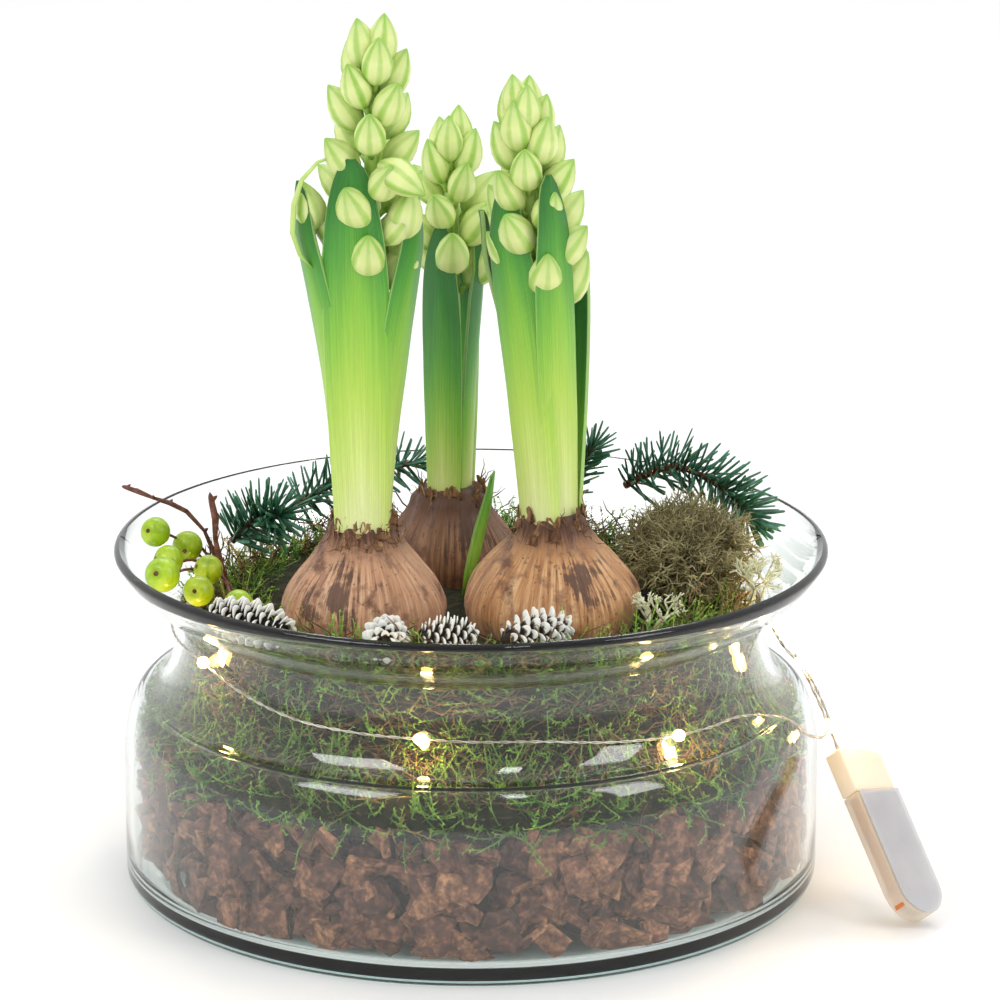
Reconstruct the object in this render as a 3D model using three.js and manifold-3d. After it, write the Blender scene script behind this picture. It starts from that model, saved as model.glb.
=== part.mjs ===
// Three forced hyacinths growing from bare bulbs in a flared glass bowl. The bowl is filled with pine
// bark, moss and small root balls, dressed with fir, lichen, berries and frosted larch cones, and a
// battery light string is wound round the outside of its neck.
// Millimetres, +Z up. The origin is the centre of the bowl's underside, and -Y is the front.
import * as THREE from 'three';
import Module from 'manifold-3d';
import { mergeVertices } from 'three/addons/utils/BufferGeometryUtils.js';

const wasm = await Module();
wasm.setup();

// Bowl
const RIM_RADIUS = 130;
const RIM_HEIGHT = 124;
const NECK_RADIUS = 107;
const NECK_HEIGHT = 103;
const BODY_RADIUS = 127.5;
const CORNER_RADIUS = 6;
const SHOULDER_START = 48;
const SHOULDER_TOP = 72.5;
const SHOULDER_IN = 9;
const NECK_FILLET = BODY_RADIUS - SHOULDER_IN - NECK_RADIUS;
const WALL = 3;
const FLOOR_THICKNESS = 6;
const ROUND_SIDES = 32;

// Filling
const GAP = 0.4;
const BARK_TOP = 50;
const MOSS_TOP = 108;
const ROOT_BALL_BOTTOM = 62;
const ROOT_BALL_RADIUS = 24;

// Hyacinths: where each stands, its bulb and its flower spike
const STEM_RADIUS = 4;
const BUD_LENGTH = 17;
const BUD_RADIUS = 4.4;
const RING_PITCH = 16;
const PLANTS = {
  left: { x: -38.5, y: -35, bulb: 30, low: 90, middle: 114, neck: 147, spikeLow: 240, spikeHigh: 325,
    spread: 0.55 },
  right: { x: 29, y: -30, bulb: 32, low: 90, middle: 115, neck: 147, spikeLow: 232, spikeHigh: 303,
    spread: 0.52 },
  back: { x: -7, y: 35, bulb: 24, low: 90, middle: 113, neck: 139, spikeLow: 222, spikeHigh: 276,
    spread: 0.45 },
};

// Light string
const WIRE_DIAMETER = 1.2;
const WIRE_SIDES = 8;
const WIRE_STEPS = 76;
const BEAD_LENGTH = 5;
const BEAD_RADIUS = 2.1;
const BEAD_BORE = 1.15;
const BEAD_PLACES = [10, 63, 163, 263, 363, 463, 563, 659, 769];
const WIRE_ROUTE = [
  [133.1, -33.2, 56.3], [131.6, -31.2, 60.5], [128.6, -29.0, 67.5], [124.5, -26.5, 76.5],
  [119.4, -24.0, 86.0], [114.0, -20.5, 91.5], [110.4, -6.0, 94.8], [108.9, 13.4, 95.2],
  [100.1, 44.6, 96.2], [82.7, 71.9, 96.2], [58.1, 92.9, 96.2], [28.4, 105.9, 96.2],
  [-3.8, 109.5, 96.2], [-35.7, 103.6, 96.2], [-64.4, 88.7, 96.2], [-87.5, 66.0, 96.2],
  [-103.0, 37.5, 96.7], [-109.4, 5.7, 97.2], [-107.1, -22.8, 97.2], [-101.5, -41.0, 97.2],
  [-95.5, -53.6, 96.6], [-80.5, -75.1, 91.8], [-60.4, -93.0, 87.7], [-38.0, -104.5, 86.6],
  [-20.5, -109.3, 86.4], [0.0, -111.4, 85.8], [24.3, -108.9, 85.1], [49.3, -101.1, 82.3],
  [70.9, -88.5, 80.3], [84.5, -76.1, 79.6], [95.4, -62.4, 79.1], [105.0, -54.0, 76.8],
  [114.0, -48.2, 73.2], [121.0, -43.0, 66.0], [127.0, -38.2, 63.5], [129.6, -34.0, 67.0], [126.6, -31.0, 75.5],
  [121.8, -28.6, 84.8], [117.0, -26.2, 91.0],
];

// Battery case: it leans back against the bowl, standing on its round lower end
const CASE_FOOT = new THREE.Vector3(161.8, -66, 4.3);
const CASE_UP = new THREE.Vector3(-0.354, 0.559, 0.75).normalize();
const CASE_ACROSS = new THREE.Vector3(0.681, 0.703, -0.203);
const CASE_LENGTH = 67;
const CASE_WIDTH = 22.4;
const CASE_DEPTH = 7.6;
const CASE_WALL = 0.8;
const CAP_LENGTH = 17;
const CELL_RADIUS = 10;
const CELL_THICKNESS = 3.2;

// ---- Finishes ---------------------------------------------------------------------------------

const finish = (color, roughness, extra = {}) =>
  new THREE.MeshStandardMaterial({ color, roughness, metalness: 0, ...extra });

const clearGlass = () => finish(0xe6f1ee, 0.02, { transparent: true, opacity: 0.35 });
const pineBark = () => finish(0x5d3a30, 0.85);
const freshMoss = () => finish(0x5f7d2c, 0.95);
const rootFibre = () => finish(0x6b5038, 0.95);
const bulbSkin = () => finish(0xb98a66, 0.6);
const leafGreen = () => finish(0x5fae3a, 0.4);
const budGreen = () => finish(0xcfe58a, 0.45);
const firNeedle = () => finish(0x2f6b4a, 0.5);
const greenBerry = () => finish(0x9db812, 0.35);
const twigBark = () => finish(0x6b4030, 0.8);
const frostedCone = () => finish(0xd9d6cf, 0.85);
const dryLichen = () => finish(0x8c8660, 0.95);
const paleLichen = () => finish(0xd8d6b8, 0.95);
const copperWire = () => finish(0xcfc9bd, 0.3, { metalness: 1 });
const lampResin = () => finish(0xffe3a0, 0.15);
const frostedPlastic = () => finish(0xe9e4dc, 0.4, { transparent: true, opacity: 0.7 });
const steelCell = () => finish(0xc8c8c8, 0.3, { metalness: 1 });
const copperStrip = () => finish(0xd98a5f, 0.35, { metalness: 1 });

// ---- Shapes -----------------------------------------------------------------------------------

const point = (x, y, z) => new THREE.Vector3(x, y, z);
const outline = (pairs) => pairs.map(([r, z]) => new THREE.Vector2(r, z));

// A body of revolution about Z from [radius, height] points.
function spun(profile, sides = ROUND_SIDES) {
  return new THREE.LatheGeometry(profile, sides).rotateX(Math.PI / 2);
}

// A closed body through rings of equally many points. Each end is closed by a ladder of faces from
// one side of its ring to the other, so that a ring may be a crescent.
function loft(rings) {
  const sides = rings[0].length;
  const top = (rings.length - 1) * sides;
  const faces = [];
  for (let ring = 0; ring < rings.length - 1; ring += 1) {
    for (let side = 0; side < sides; side += 1) {
      const low = ring * sides + side;
      const next = ring * sides + ((side + 1) % sides);
      faces.push(low, next, next + sides, low, next + sides, low + sides);
    }
  }
  for (let rung = 0; rung < sides / 2 - 1; rung += 1) {
    const [a, b, c, d] = [rung, rung + 1, sides - 2 - rung, sides - 1 - rung];
    faces.push(a, c, b, a, d, c);
    faces.push(top + a, top + b, top + c, top + a, top + c, top + d);
  }
  const geometry = new THREE.BufferGeometry().setFromPoints(rings.flat());
  geometry.setIndex(faces);
  geometry.computeVertexNormals();
  return geometry;
}

function toSolid(geometry) {
  const bare = geometry.clone();
  bare.deleteAttribute('normal');
  bare.deleteAttribute('uv');
  const merged = mergeVertices(bare, 1e-3);
  const vertProperties = merged.attributes.position.array;
  const triVerts = new Uint32Array(merged.index.array);
  return new wasm.Manifold(new wasm.Mesh({ numProp: 3, vertProperties, triVerts }));
}

function toGeometry(solid) {
  const { vertProperties, triVerts } = solid.getMesh();
  const geometry = new THREE.BufferGeometry();
  geometry.setAttribute('position', new THREE.BufferAttribute(vertProperties, 3));
  geometry.setIndex(new THREE.BufferAttribute(triVerts, 1));
  geometry.computeVertexNormals();
  return geometry;
}

// Joins closed bodies that run into each other into one.
function joined(geometries) {
  return toGeometry(geometries.map(toSolid).reduce((whole, piece) => whole.add(piece)));
}

// A round bar along a smooth curve through points.
function bar(points, radius, sides, steps) {
  const ring = new THREE.Shape().absarc(0, 0, radius, 0, 2 * Math.PI, false);
  return new THREE.ExtrudeGeometry(ring, {
    steps, curveSegments: sides / 2, extrudePath: new THREE.CatmullRomCurve3(points),
  });
}

// Turns a body that stands on Z so that it points along a direction from a place.
function aimed(geometry, place, direction) {
  const turn = new THREE.Quaternion().setFromUnitVectors(point(0, 0, 1), direction.clone().normalize());
  return geometry.applyQuaternion(turn).translate(place.x, place.y, place.z);
}

// A repeatable number from 0 to 1 for each whole number, for small natural differences.
const vary = (seed) => {
  const wave = Math.sin(seed * 12.9898) * 43758.5453;
  return wave - Math.floor(wave);
};

// ---- Bowl -------------------------------------------------------------------------------------

// The outside of the bowl's wall from its foot to its lip, as points of radius and height.
function bowlOutside() {
  const wall = new THREE.Path();
  const shoulderRadius = BODY_RADIUS - SHOULDER_IN;
  const shoulderRise = SHOULDER_TOP - SHOULDER_START;
  wall.absarc(BODY_RADIUS - CORNER_RADIUS, CORNER_RADIUS, CORNER_RADIUS, -Math.PI / 2, 0, false);
  wall.lineTo(BODY_RADIUS, SHOULDER_START);
  wall.absellipse(shoulderRadius, SHOULDER_START, SHOULDER_IN, shoulderRise, 0, Math.PI / 2, false, 0);
  wall.absellipse(shoulderRadius, NECK_HEIGHT, NECK_FILLET, NECK_HEIGHT - SHOULDER_TOP,
    1.5 * Math.PI, Math.PI, true, 0);
  wall.bezierCurveTo(NECK_RADIUS, NECK_HEIGHT + 3.5, NECK_RADIUS + 10, NECK_HEIGHT + 0.5,
    RIM_RADIUS, RIM_HEIGHT);
  const points = wall.getPoints(3);
  return points.filter((p, i) => i === 0 || p.distanceTo(points[i - 1]) > 0.01);
}

// The same wall moved inwards by its thickness, from the lip down to the foot.
function bowlInside(outside) {
  const inside = outside.map((p, i) => {
    const along = outside[Math.min(i + 1, outside.length - 1)].clone().sub(outside[Math.max(i - 1, 0)]);
    along.normalize();
    return new THREE.Vector2(p.x - along.y * WALL, p.y + along.x * WALL);
  });
  return inside.filter((p) => p.y > CORNER_RADIUS + 6).reverse();
}

function glassBowl() {
  const outside = bowlOutside();
  const inside = bowlInside(outside);
  const innerRadius = BODY_RADIUS - WALL;
  const lip = [RIM_RADIUS - WALL / 2 + 0.8, RIM_HEIGHT + 1.4];
  const floor = [[innerRadius, FLOOR_THICKNESS + 7], [innerRadius - 2, FLOOR_THICKNESS + 2],
    [innerRadius - 7.5, FLOOR_THICKNESS], [0, FLOOR_THICKNESS]];
  return spun([...outline([[0, 0]]), ...outside, ...outline([lip]), ...inside, ...outline(floor)]);
}

// ---- Filling ----------------------------------------------------------------------------------

function barkBed() {
  const radius = BODY_RADIUS - WALL - 2 * GAP;
  const low = FLOOR_THICKNESS + GAP;
  return spun(outline([[0, low], [radius - 7.5, low], [radius - 2, low + 2.2], [radius, low + 7],
    [radius, BARK_TOP], [0, BARK_TOP]]));
}

function bulbOutline({ bulb, low, middle, neck }, grow) {
  const neckRadius = 13;
  return [[10, low - grow], [0.75 * bulb + grow, low + 8], [bulb + grow, middle],
    [0.94 * bulb, middle + 8], [0.74 * bulb, middle + 16], [neckRadius + 2.5, neck - 8],
    [neckRadius, neck - 3], [neckRadius, neck]];
}

function bulb(plant) {
  const profile = [[0, plant.low], ...bulbOutline(plant, 0), [0, plant.neck]];
  return spun(outline(profile), 12).translate(plant.x, plant.y, 0);
}

function rootBall(plant) {
  const high = plant.low - GAP;
  const mid = (ROOT_BALL_BOTTOM + high) / 2;
  return spun(outline([[0, ROOT_BALL_BOTTOM], [ROOT_BALL_RADIUS - 3, ROOT_BALL_BOTTOM],
    [ROOT_BALL_RADIUS, mid], [ROOT_BALL_RADIUS - 1, high], [0, high]]), 12)
    .translate(plant.x, plant.y, 0);
}

// The room that a root ball and the lower half of its bulb take in the moss.
function plantPocket(plant) {
  const radius = ROOT_BALL_RADIUS + 2 * GAP;
  return spun(outline([[0, ROOT_BALL_BOTTOM - GAP], [radius, ROOT_BALL_BOTTOM - GAP],
    [radius, plant.low + 8], [plant.bulb + 2 * GAP, plant.middle], [plant.bulb + 2 * GAP, MOSS_TOP + 10],
    [0, MOSS_TOP + 10]]), 12).translate(plant.x, plant.y, 0);
}

function mossBed() {
  const radius = BODY_RADIUS - WALL - 3 * GAP;
  const neck = NECK_RADIUS - WALL - 5 * GAP;
  const bed = toSolid(spun(outline([[0, BARK_TOP + GAP], [radius, BARK_TOP + GAP], [radius - 1.6, 59],
    [radius - 6, 65.5], [neck + 3, 74], [neck, 84], [neck, 101], [neck - 5, 106], [60, MOSS_TOP],
    [0, MOSS_TOP]])));
  return toGeometry(Object.values(PLANTS).reduce((rest, plant) => rest.subtract(toSolid(plantPocket(plant))),
    bed));
}

// ---- Hyacinths --------------------------------------------------------------------------------

// One strap leaf: a channelled blade that stands out from the stem by `out`, faces `azimuth`
// degrees, and moves out by `lean` and sideways by `sway` at its tip.
function leaf(plant, { azimuth, out, width, length, lean, sway = 0, rise = 0 }) {
  const turns = [-1, -0.35, 0.35, 1];
  const thickness = 2;
  const angle = THREE.MathUtils.degToRad(azimuth);
  const outward = point(Math.cos(angle), Math.sin(angle), 0);
  const aside = point(-Math.sin(angle), Math.cos(angle), 0);
  const rings = [0, 0.16, 0.38, 0.6, 0.78, 0.91, 0.985].map((t) => {
    const taper = t < 0.6 ? 0.84 + 0.16 * Math.sin((t / 0.6) * Math.PI / 2)
      : Math.sqrt(1 - ((t - 0.6) / 0.4) ** 2);
    const half = (width / 2) * taper;
    const curl = out * (1 + 0.9 * t);
    const spine = point(plant.x, plant.y, plant.neck + GAP + rise + length * t)
      .addScaledVector(outward, out + lean * t ** 1.6)
      .addScaledVector(aside, sway * t ** 1.3);
    const across = (s, side) => {
      const bend = (s * half) / curl;
      const shift = side * (thickness / 2) * (1 - 0.6 * s * s);
      return spine.clone()
        .addScaledVector(aside, (curl + shift) * Math.sin(bend))
        .addScaledVector(outward, (curl + shift) * Math.cos(bend) - curl);
    };
    return [...turns.map((s) => across(s, 1)), ...turns.map((s) => across(-s, -1))];
  });
  return loft(rings);
}

const LEAVES = {
  left: {
    front: { azimuth: -92, out: 11.2, width: 24.5, length: 125, lean: 2.5, sway: -5 },
    right: { azimuth: -3, out: 7.8, width: 12.5, length: 111, lean: 15 },
    outer: { azimuth: 180, out: 7.8, width: 13.5, length: 114, lean: 18 },
    behind: { azimuth: 96, out: 11.2, width: 20, length: 104, lean: 7, sway: 7 },
  },
  right: {
    front_left: { azimuth: -122, out: 10.8, width: 20, length: 116, lean: 9 },
    front_right: { azimuth: -52, out: 7.6, width: 13, length: 121, lean: 8.5 },
    outer: { azimuth: 166, out: 8, width: 11, length: 103, lean: 16 },
    behind: { azimuth: 72, out: 11, width: 22, length: 108, lean: 6 },
  },
  back: {
    front: { azimuth: -112, out: 9.4, width: 15.5, length: 100, lean: 4 },
    right: { azimuth: -22, out: 6.9, width: 12, length: 97, lean: 6 },
    behind: { azimuth: 80, out: 9.6, width: 17, length: 92, lean: 7 },
  },
};

function bud(length, radius) {
  return spun(outline([[0, 0], [0.9 * radius, 0.28 * length], [0.95 * radius, 0.62 * length],
    [0, length]]), 5);
}

// The scape with its closed buds, in rings that open out upwards and close at the top.
function flowerSpike({ x, y, neck, spikeLow, spikeHigh, spread }) {
  const rings = Math.round((spikeHigh - spikeLow) / RING_PITCH);
  const budsInRing = 5;
  const stemTop = spikeHigh - 0.8 * BUD_LENGTH;
  const pieces = [bar([point(x, y, neck + GAP), point(x, y, spikeLow), point(x, y, stemTop)],
    STEM_RADIUS, 8, 3)];
  for (let ring = 0; ring < rings; ring += 1) {
    const share = ring / (rings - 1);
    const buds = ring === rings - 1 ? 3 : budsInRing;
    const lean = spread * (0.2 + Math.sin(Math.PI * Math.min(share + 0.1, 0.88)));
    for (let index = 0; index < buds; index += 1) {
      const angle = (2 * Math.PI * (index + 0.5 * (ring % 2))) / buds;
      const foot = spikeLow + share * (spikeHigh - BUD_LENGTH - spikeLow - 1);
      const aim = point(Math.cos(angle) * lean, Math.sin(angle) * lean, 1);
      const start = 2 + 1.2 * Math.sin(Math.PI * share);
      const place = point(x + start * Math.cos(angle), y + start * Math.sin(angle), foot);
      pieces.push(aimed(bud(BUD_LENGTH, BUD_RADIUS * (1 - 0.2 * share)), place, aim));
    }
  }
  return joined(pieces);
}

// The young shoot beside the right bulb: one rolled blade.
function offsetShoot() {
  const spine = [[-1.5, -3, 109], [-0.5, -3, 115], [2.5, -2, 127], [6, 0, 140], [8.5, 2, 153]];
  const width = [2.6, 3.6, 4, 3.2, 0.8];
  const rings = spine.map(([x, y, z], i) => [...Array(8).keys()].map((side) => {
    const turn = (Math.PI * side) / 4;
    return point(x + width[i] * Math.cos(turn), y + 0.5 * width[i] * Math.sin(turn), z);
  }));
  return loft(rings);
}

// ---- Dressing ---------------------------------------------------------------------------------

// A fir sprig: a twig with short, slightly forward needles on every side.
function firSprig({ twig, needles, needleLength }) {
  const route = twig.map((p) => point(...p));
  const curve = new THREE.CatmullRomCurve3(route);
  const pieces = [bar(route, 1.4, 6, 6)];
  for (let index = 0; index < needles; index += 1) {
    const share = 0.06 + (0.94 * index) / needles;
    const place = curve.getPointAt(share);
    const along = curve.getTangentAt(share);
    const side = along.clone().cross(point(0, 0, 1)).normalize();
    const over = side.clone().cross(along).normalize();
    const turn = index * 2.4;
    const aim = along.clone().multiplyScalar(0.55)
      .addScaledVector(side, Math.cos(turn)).addScaledVector(over, 0.75 * Math.sin(turn) + 0.15);
    const length = needleLength * (0.85 + 0.15 * vary(index));
    pieces.push(aimed(new THREE.ConeGeometry(1, length, 3).rotateX(Math.PI / 2)
      .translate(0, 0, length / 2), place, aim));
  }
  return joined(pieces);
}

const FIR_SPRIGS = {
  left: { twig: [[-88, 14, 122], [-78, 14, 131], [-70, 10, 133]], needles: 16, needleLength: 14 },
  back_left: { twig: [[-66, 62, 122], [-46, 74, 130], [-20, 80, 134]], needles: 20, needleLength: 12 },
  right: { twig: [[58, 62, 130], [76, 52, 140], [94, 42, 134], [104, 36, 124]], needles: 26,
    needleLength: 14 },
  back_right: { twig: [[34, 84, 116], [40, 80, 130], [46, 76, 141]], needles: 14, needleLength: 11 },
};

const BERRIES = [
  [-114.5, -8, 131.8, 5.5], [-109.5, -16, 123.4, 5.6], [-103.4, -1, 124.5, 5.6],
  [-110.6, -35, 123.6, 6.4], [-97.5, -38, 118.4, 5.6], [-95, -18, 120.4, 5.5],
  [-83.2, -42, 114.8, 5.2],
];

function berry([x, y, z, radius]) {
  return new THREE.IcosahedronGeometry(radius, 1).translate(x, y, z);
}

const BERRY_TWIGS = {
  long: { route: [[-126, 10, 143.5], [-116, 5, 141], [-104, 8, 135], [-93, 4, 118]], radius: 0.8 },
  short: { route: [[-94, -9, 144], [-92.5, -10, 130], [-88.5, -12, 112]], radius: 1.1 },
};

// A frosted larch cone: an egg of overlapping scales, told here by its steps.
function cone({ place, aim, length, radius }) {
  const rows = 5;
  const profile = [[0, 0]];
  for (let row = 0; row < rows; row += 1) {
    const wide = radius * Math.sin(Math.PI * (0.2 + (0.72 * row) / rows));
    profile.push([0.8 * wide, (length * (row + 0.1)) / rows], [wide, (length * (row + 0.8)) / rows]);
  }
  profile.push([0, length]);
  return aimed(spun(outline(profile), 8), point(...place), point(...aim));
}

const CONES = {
  big_left: { place: [-93, -53, 114.8], aim: [0.8, -0.6, -0.02], length: 38, radius: 6.4 },
  end_on: { place: [-29, -76.5, 114.6], aim: [-0.05, -1, 0.1], length: 17, radius: 6.2 },
  middle: { place: [-19, -86, 115.6], aim: [1, 0.12, 0.02], length: 21, radius: 5.6 },
  right: { place: [11, -87, 115], aim: [0.86, 0.5, 0.06], length: 26, radius: 6.2 },
};

// A cushion of dry lichen: a ball pressed low, with a lumpy skin.
function lichenTuft() {
  const tuft = toSolid(new THREE.IcosahedronGeometry(1, 2));
  const lumpy = tuft.warp((v) => {
    const lump = 1 + 0.1 * Math.sin(5 * v[0] + 2) * Math.cos(4 * v[1]) + 0.06 * Math.sin(7 * v[2]);
    v[0] = 79 + 21 * v[0] * lump;
    v[1] = 4 + 34 * v[1] * lump;
    v[2] = 121 + 12.5 * v[2] * lump;
  });
  return toGeometry(lumpy);
}

// A pale lichen: a stalk that forks into short antlers.
function lichenBranch([x, y, z], size, seed) {
  const foot = point(x, y, z);
  const pieces = [bar([foot, point(x + 0.1 * size, y, z + 0.5 * size), point(x, y, z + size)], 0.9, 6, 2)];
  for (let index = 0; index < 5; index += 1) {
    const turn = index * 2.1 + seed;
    const start = point(x + 0.05 * size, y, z + size * (0.25 + 0.12 * index));
    const aim = point(Math.cos(turn), 0.4 * Math.sin(turn), 0.8);
    const length = size * (0.6 - 0.05 * index);
    pieces.push(aimed(new THREE.ConeGeometry(0.8, length, 3).rotateX(Math.PI / 2)
      .translate(0, 0, length / 2 - 0.3), start, aim));
  }
  return joined(pieces);
}

// ---- Light string -----------------------------------------------------------------------------

const wireCurve = new THREE.CatmullRomCurve3(WIRE_ROUTE.map((p) => point(...p)));
wireCurve.arcLengthDivisions = 1000;

function lightWire() {
  const ring = new THREE.Shape().absarc(0, 0, WIRE_DIAMETER / 2, 0, 2 * Math.PI, false);
  return new THREE.ExtrudeGeometry(ring, {
    steps: WIRE_STEPS, curveSegments: WIRE_SIDES / 2, extrudePath: wireCurve,
  });
}

// A drop of clear resin round the wire, with a lamp chip inside.
function lampBead(distance) {
  const share = distance / wireCurve.getLength();
  const half = BEAD_LENGTH / 2;
  const drop = spun(outline([[BEAD_BORE, -half], [0.85 * BEAD_RADIUS, -0.6 * half], [BEAD_RADIUS, 0],
    [0.85 * BEAD_RADIUS, 0.6 * half], [BEAD_BORE, half], [BEAD_BORE, -half]]), 8);
  return aimed(drop, wireCurve.getPointAt(share), wireCurve.getTangentAt(share));
}

// ---- Battery case, in its own frame: X across, Y deep, Z from its round foot to its cap ---------

// A tongue: a strip that is round at its foot and square at its top, as deep as `depth`.
function tongue(width, length, depth) {
  const half = width / 2;
  const shape = new THREE.Shape();
  shape.moveTo(half, length);
  shape.lineTo(-half, length);
  shape.lineTo(-half, half);
  shape.absarc(0, half, half, Math.PI, 2 * Math.PI, false);
  shape.closePath();
  return new THREE.ExtrudeGeometry(shape, { depth, bevelEnabled: false, curveSegments: 8 })
    .rotateX(Math.PI / 2).translate(0, depth / 2, 0);
}

// The tray that holds the cells: closed behind and open to the front, where its cover goes.
function caseTray() {
  const high = CASE_LENGTH - CAP_LENGTH - GAP;
  const room = tongue(CASE_WIDTH - 2 * CASE_WALL, high - 2 * CASE_WALL, CASE_DEPTH)
    .translate(0, -CASE_WALL, CASE_WALL);
  return toGeometry(toSolid(tongue(CASE_WIDTH, high, CASE_DEPTH)).subtract(toSolid(room)));
}

function caseCover() {
  const high = CASE_LENGTH - CAP_LENGTH - GAP;
  return tongue(CASE_WIDTH, high, CASE_WALL).translate(0, -(CASE_DEPTH + CASE_WALL) / 2 - GAP, 0);
}

// The block above the cells, with its corner cut off, that holds the switch and the wire's end.
function caseCap() {
  const half = CASE_WIDTH / 2;
  const shape = new THREE.Shape();
  shape.moveTo(-half, 0);
  shape.lineTo(half, 0);
  shape.lineTo(half, 0.55 * CAP_LENGTH);
  shape.lineTo(0.72 * half, 0.92 * CAP_LENGTH);
  shape.lineTo(-half, CAP_LENGTH);
  shape.closePath();
  return new THREE.ExtrudeGeometry(shape, { depth: CASE_DEPTH, bevelEnabled: false })
    .rotateX(Math.PI / 2).translate(0, CASE_DEPTH / 2, CASE_LENGTH - CAP_LENGTH);
}

function buttonCell(height) {
  return new THREE.CylinderGeometry(CELL_RADIUS, CELL_RADIUS, CELL_THICKNESS, 24).translate(0, 0.6, height);
}

function contactStrip() {
  return new THREE.BoxGeometry(CASE_WIDTH - 8, 0.4, 38).translate(0, -2.2, 27);
}

function batteryCase() {
  const group = new THREE.Group();
  const deep = CASE_UP.clone().cross(CASE_ACROSS).normalize();
  const across = deep.clone().cross(CASE_UP).normalize();
  const turn = new THREE.Matrix4().makeBasis(across, deep, CASE_UP);
  group.quaternion.setFromRotationMatrix(turn);
  group.position.copy(CASE_FOOT);
  group.add(
    piece('battery_case', caseTray(), frostedPlastic()),
    piece('battery_cover', caseCover(), frostedPlastic()),
    piece('battery_cap', caseCap(), frostedPlastic()),
    piece('battery_cell_lower', buttonCell(CELL_RADIUS + 2 * CASE_WALL), steelCell()),
    piece('battery_cell_upper', buttonCell(3 * CELL_RADIUS + 2 * CASE_WALL + 2 * GAP), steelCell()),
    piece('contact_strip', contactStrip(), copperStrip()),
  );
  return group;
}

// ---- Assembly ---------------------------------------------------------------------------------

function piece(name, geometry, material) {
  const mesh = new THREE.Mesh(geometry, material);
  mesh.name = name;
  return mesh;
}

function hyacinth(name, plant) {
  const group = new THREE.Group();
  group.add(
    piece(`root_ball_${name}`, rootBall(plant), rootFibre()),
    piece(`bulb_${name}`, bulb(plant), bulbSkin()),
    piece(`flower_spike_${name}`, flowerSpike(plant), budGreen()),
  );
  for (const [side, blade] of Object.entries(LEAVES[name])) {
    group.add(piece(`leaf_${name}_${side}`, leaf(plant, blade), leafGreen()));
  }
  return group;
}

function dressing() {
  const group = new THREE.Group();
  for (const [side, sprig] of Object.entries(FIR_SPRIGS)) {
    group.add(piece(`fir_sprig_${side}`, firSprig(sprig), firNeedle()));
  }
  BERRIES.forEach((place, index) => group.add(piece(`berry_${index + 1}`, berry(place), greenBerry())));
  for (const [name, { route, radius }] of Object.entries(BERRY_TWIGS)) {
    const twig = bar(route.map((p) => point(...p)), radius, 6, 6);
    group.add(piece(`berry_twig_${name}`, twig, twigBark()));
  }
  for (const [name, shape] of Object.entries(CONES)) {
    group.add(piece(`larch_cone_${name}`, cone(shape), frostedCone()));
  }
  group.add(
    piece('lichen_tuft', lichenTuft(), dryLichen()),
    piece('pale_lichen_front', lichenBranch([64, -52, 109], 15, 0.4), paleLichen()),
    piece('pale_lichen_side', lichenBranch([103, -24, 112], 17, 1.2), paleLichen()),
  );
  return group;
}

const root = new THREE.Group();
root.add(
  piece('glass_bowl', glassBowl(), clearGlass()),
  piece('bark_bed', barkBed(), pineBark()),
  piece('moss_bed', mossBed(), freshMoss()),
  piece('offset_shoot', offsetShoot(), leafGreen()),
);
for (const [name, plant] of Object.entries(PLANTS)) root.add(hyacinth(name, plant));
root.add(dressing());
root.add(piece('light_wire', lightWire(), copperWire()));
BEAD_PLACES.forEach((distance, index) => {
  root.add(piece(`lamp_bead_${index + 1}`, lampBead(distance), lampResin()));
});
root.add(batteryCase());

export default root;
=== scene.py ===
"""Three forced hyacinths in a flared glass bowl, dressed for winter and lit by a short light string.

Metres, +Z up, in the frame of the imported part: the bowl stands on Z = 0 and -Y is the front. Sizes in
the classes below are in millimetres, as a maker would note them.
"""

import logging
import math
import random
from collections.abc import Callable, Iterator, Sequence
from contextlib import contextmanager
from dataclasses import dataclass, field
from enum import Enum

import bmesh
import bpy
import numpy as np
from mathutils import Matrix, Vector, noise


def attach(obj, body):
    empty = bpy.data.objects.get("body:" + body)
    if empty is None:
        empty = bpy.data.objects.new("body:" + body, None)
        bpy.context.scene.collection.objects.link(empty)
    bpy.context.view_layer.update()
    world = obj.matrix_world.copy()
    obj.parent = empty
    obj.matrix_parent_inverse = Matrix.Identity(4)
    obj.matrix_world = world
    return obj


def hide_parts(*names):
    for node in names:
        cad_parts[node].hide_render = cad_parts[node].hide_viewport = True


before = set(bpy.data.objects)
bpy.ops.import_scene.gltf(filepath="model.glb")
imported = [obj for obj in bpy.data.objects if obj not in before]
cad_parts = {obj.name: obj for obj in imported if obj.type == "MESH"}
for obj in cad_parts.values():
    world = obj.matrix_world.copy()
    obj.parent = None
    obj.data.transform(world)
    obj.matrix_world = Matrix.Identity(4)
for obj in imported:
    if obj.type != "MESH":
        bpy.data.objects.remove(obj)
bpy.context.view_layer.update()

LOG = logging.getLogger("hyacinth_bowl")
MM = 0.001
GOLDEN_TURN = math.radians(137.5)

Colour = tuple[float, float, float, float]
Point = tuple[float, float, float]
Profile = Sequence[tuple[float, float]]


# ---- Small tools --------------------------------------------------------------------------------


class Primitive(Enum):
    """The primitives that the pieces start from."""

    BALL = "primitive_uv_sphere_add"
    BLOCK = "primitive_cube_add"
    DISC = "primitive_circle_add"
    GRID = "primitive_grid_add"
    GEM = "primitive_ico_sphere_add"
    ROD = "primitive_cylinder_add"
    SHEET = "primitive_plane_add"


def deselect() -> None:
    """Leaves nothing selected, since every operator acts on all that is."""
    for other in bpy.context.selected_objects:
        other.select_set(False)


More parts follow.
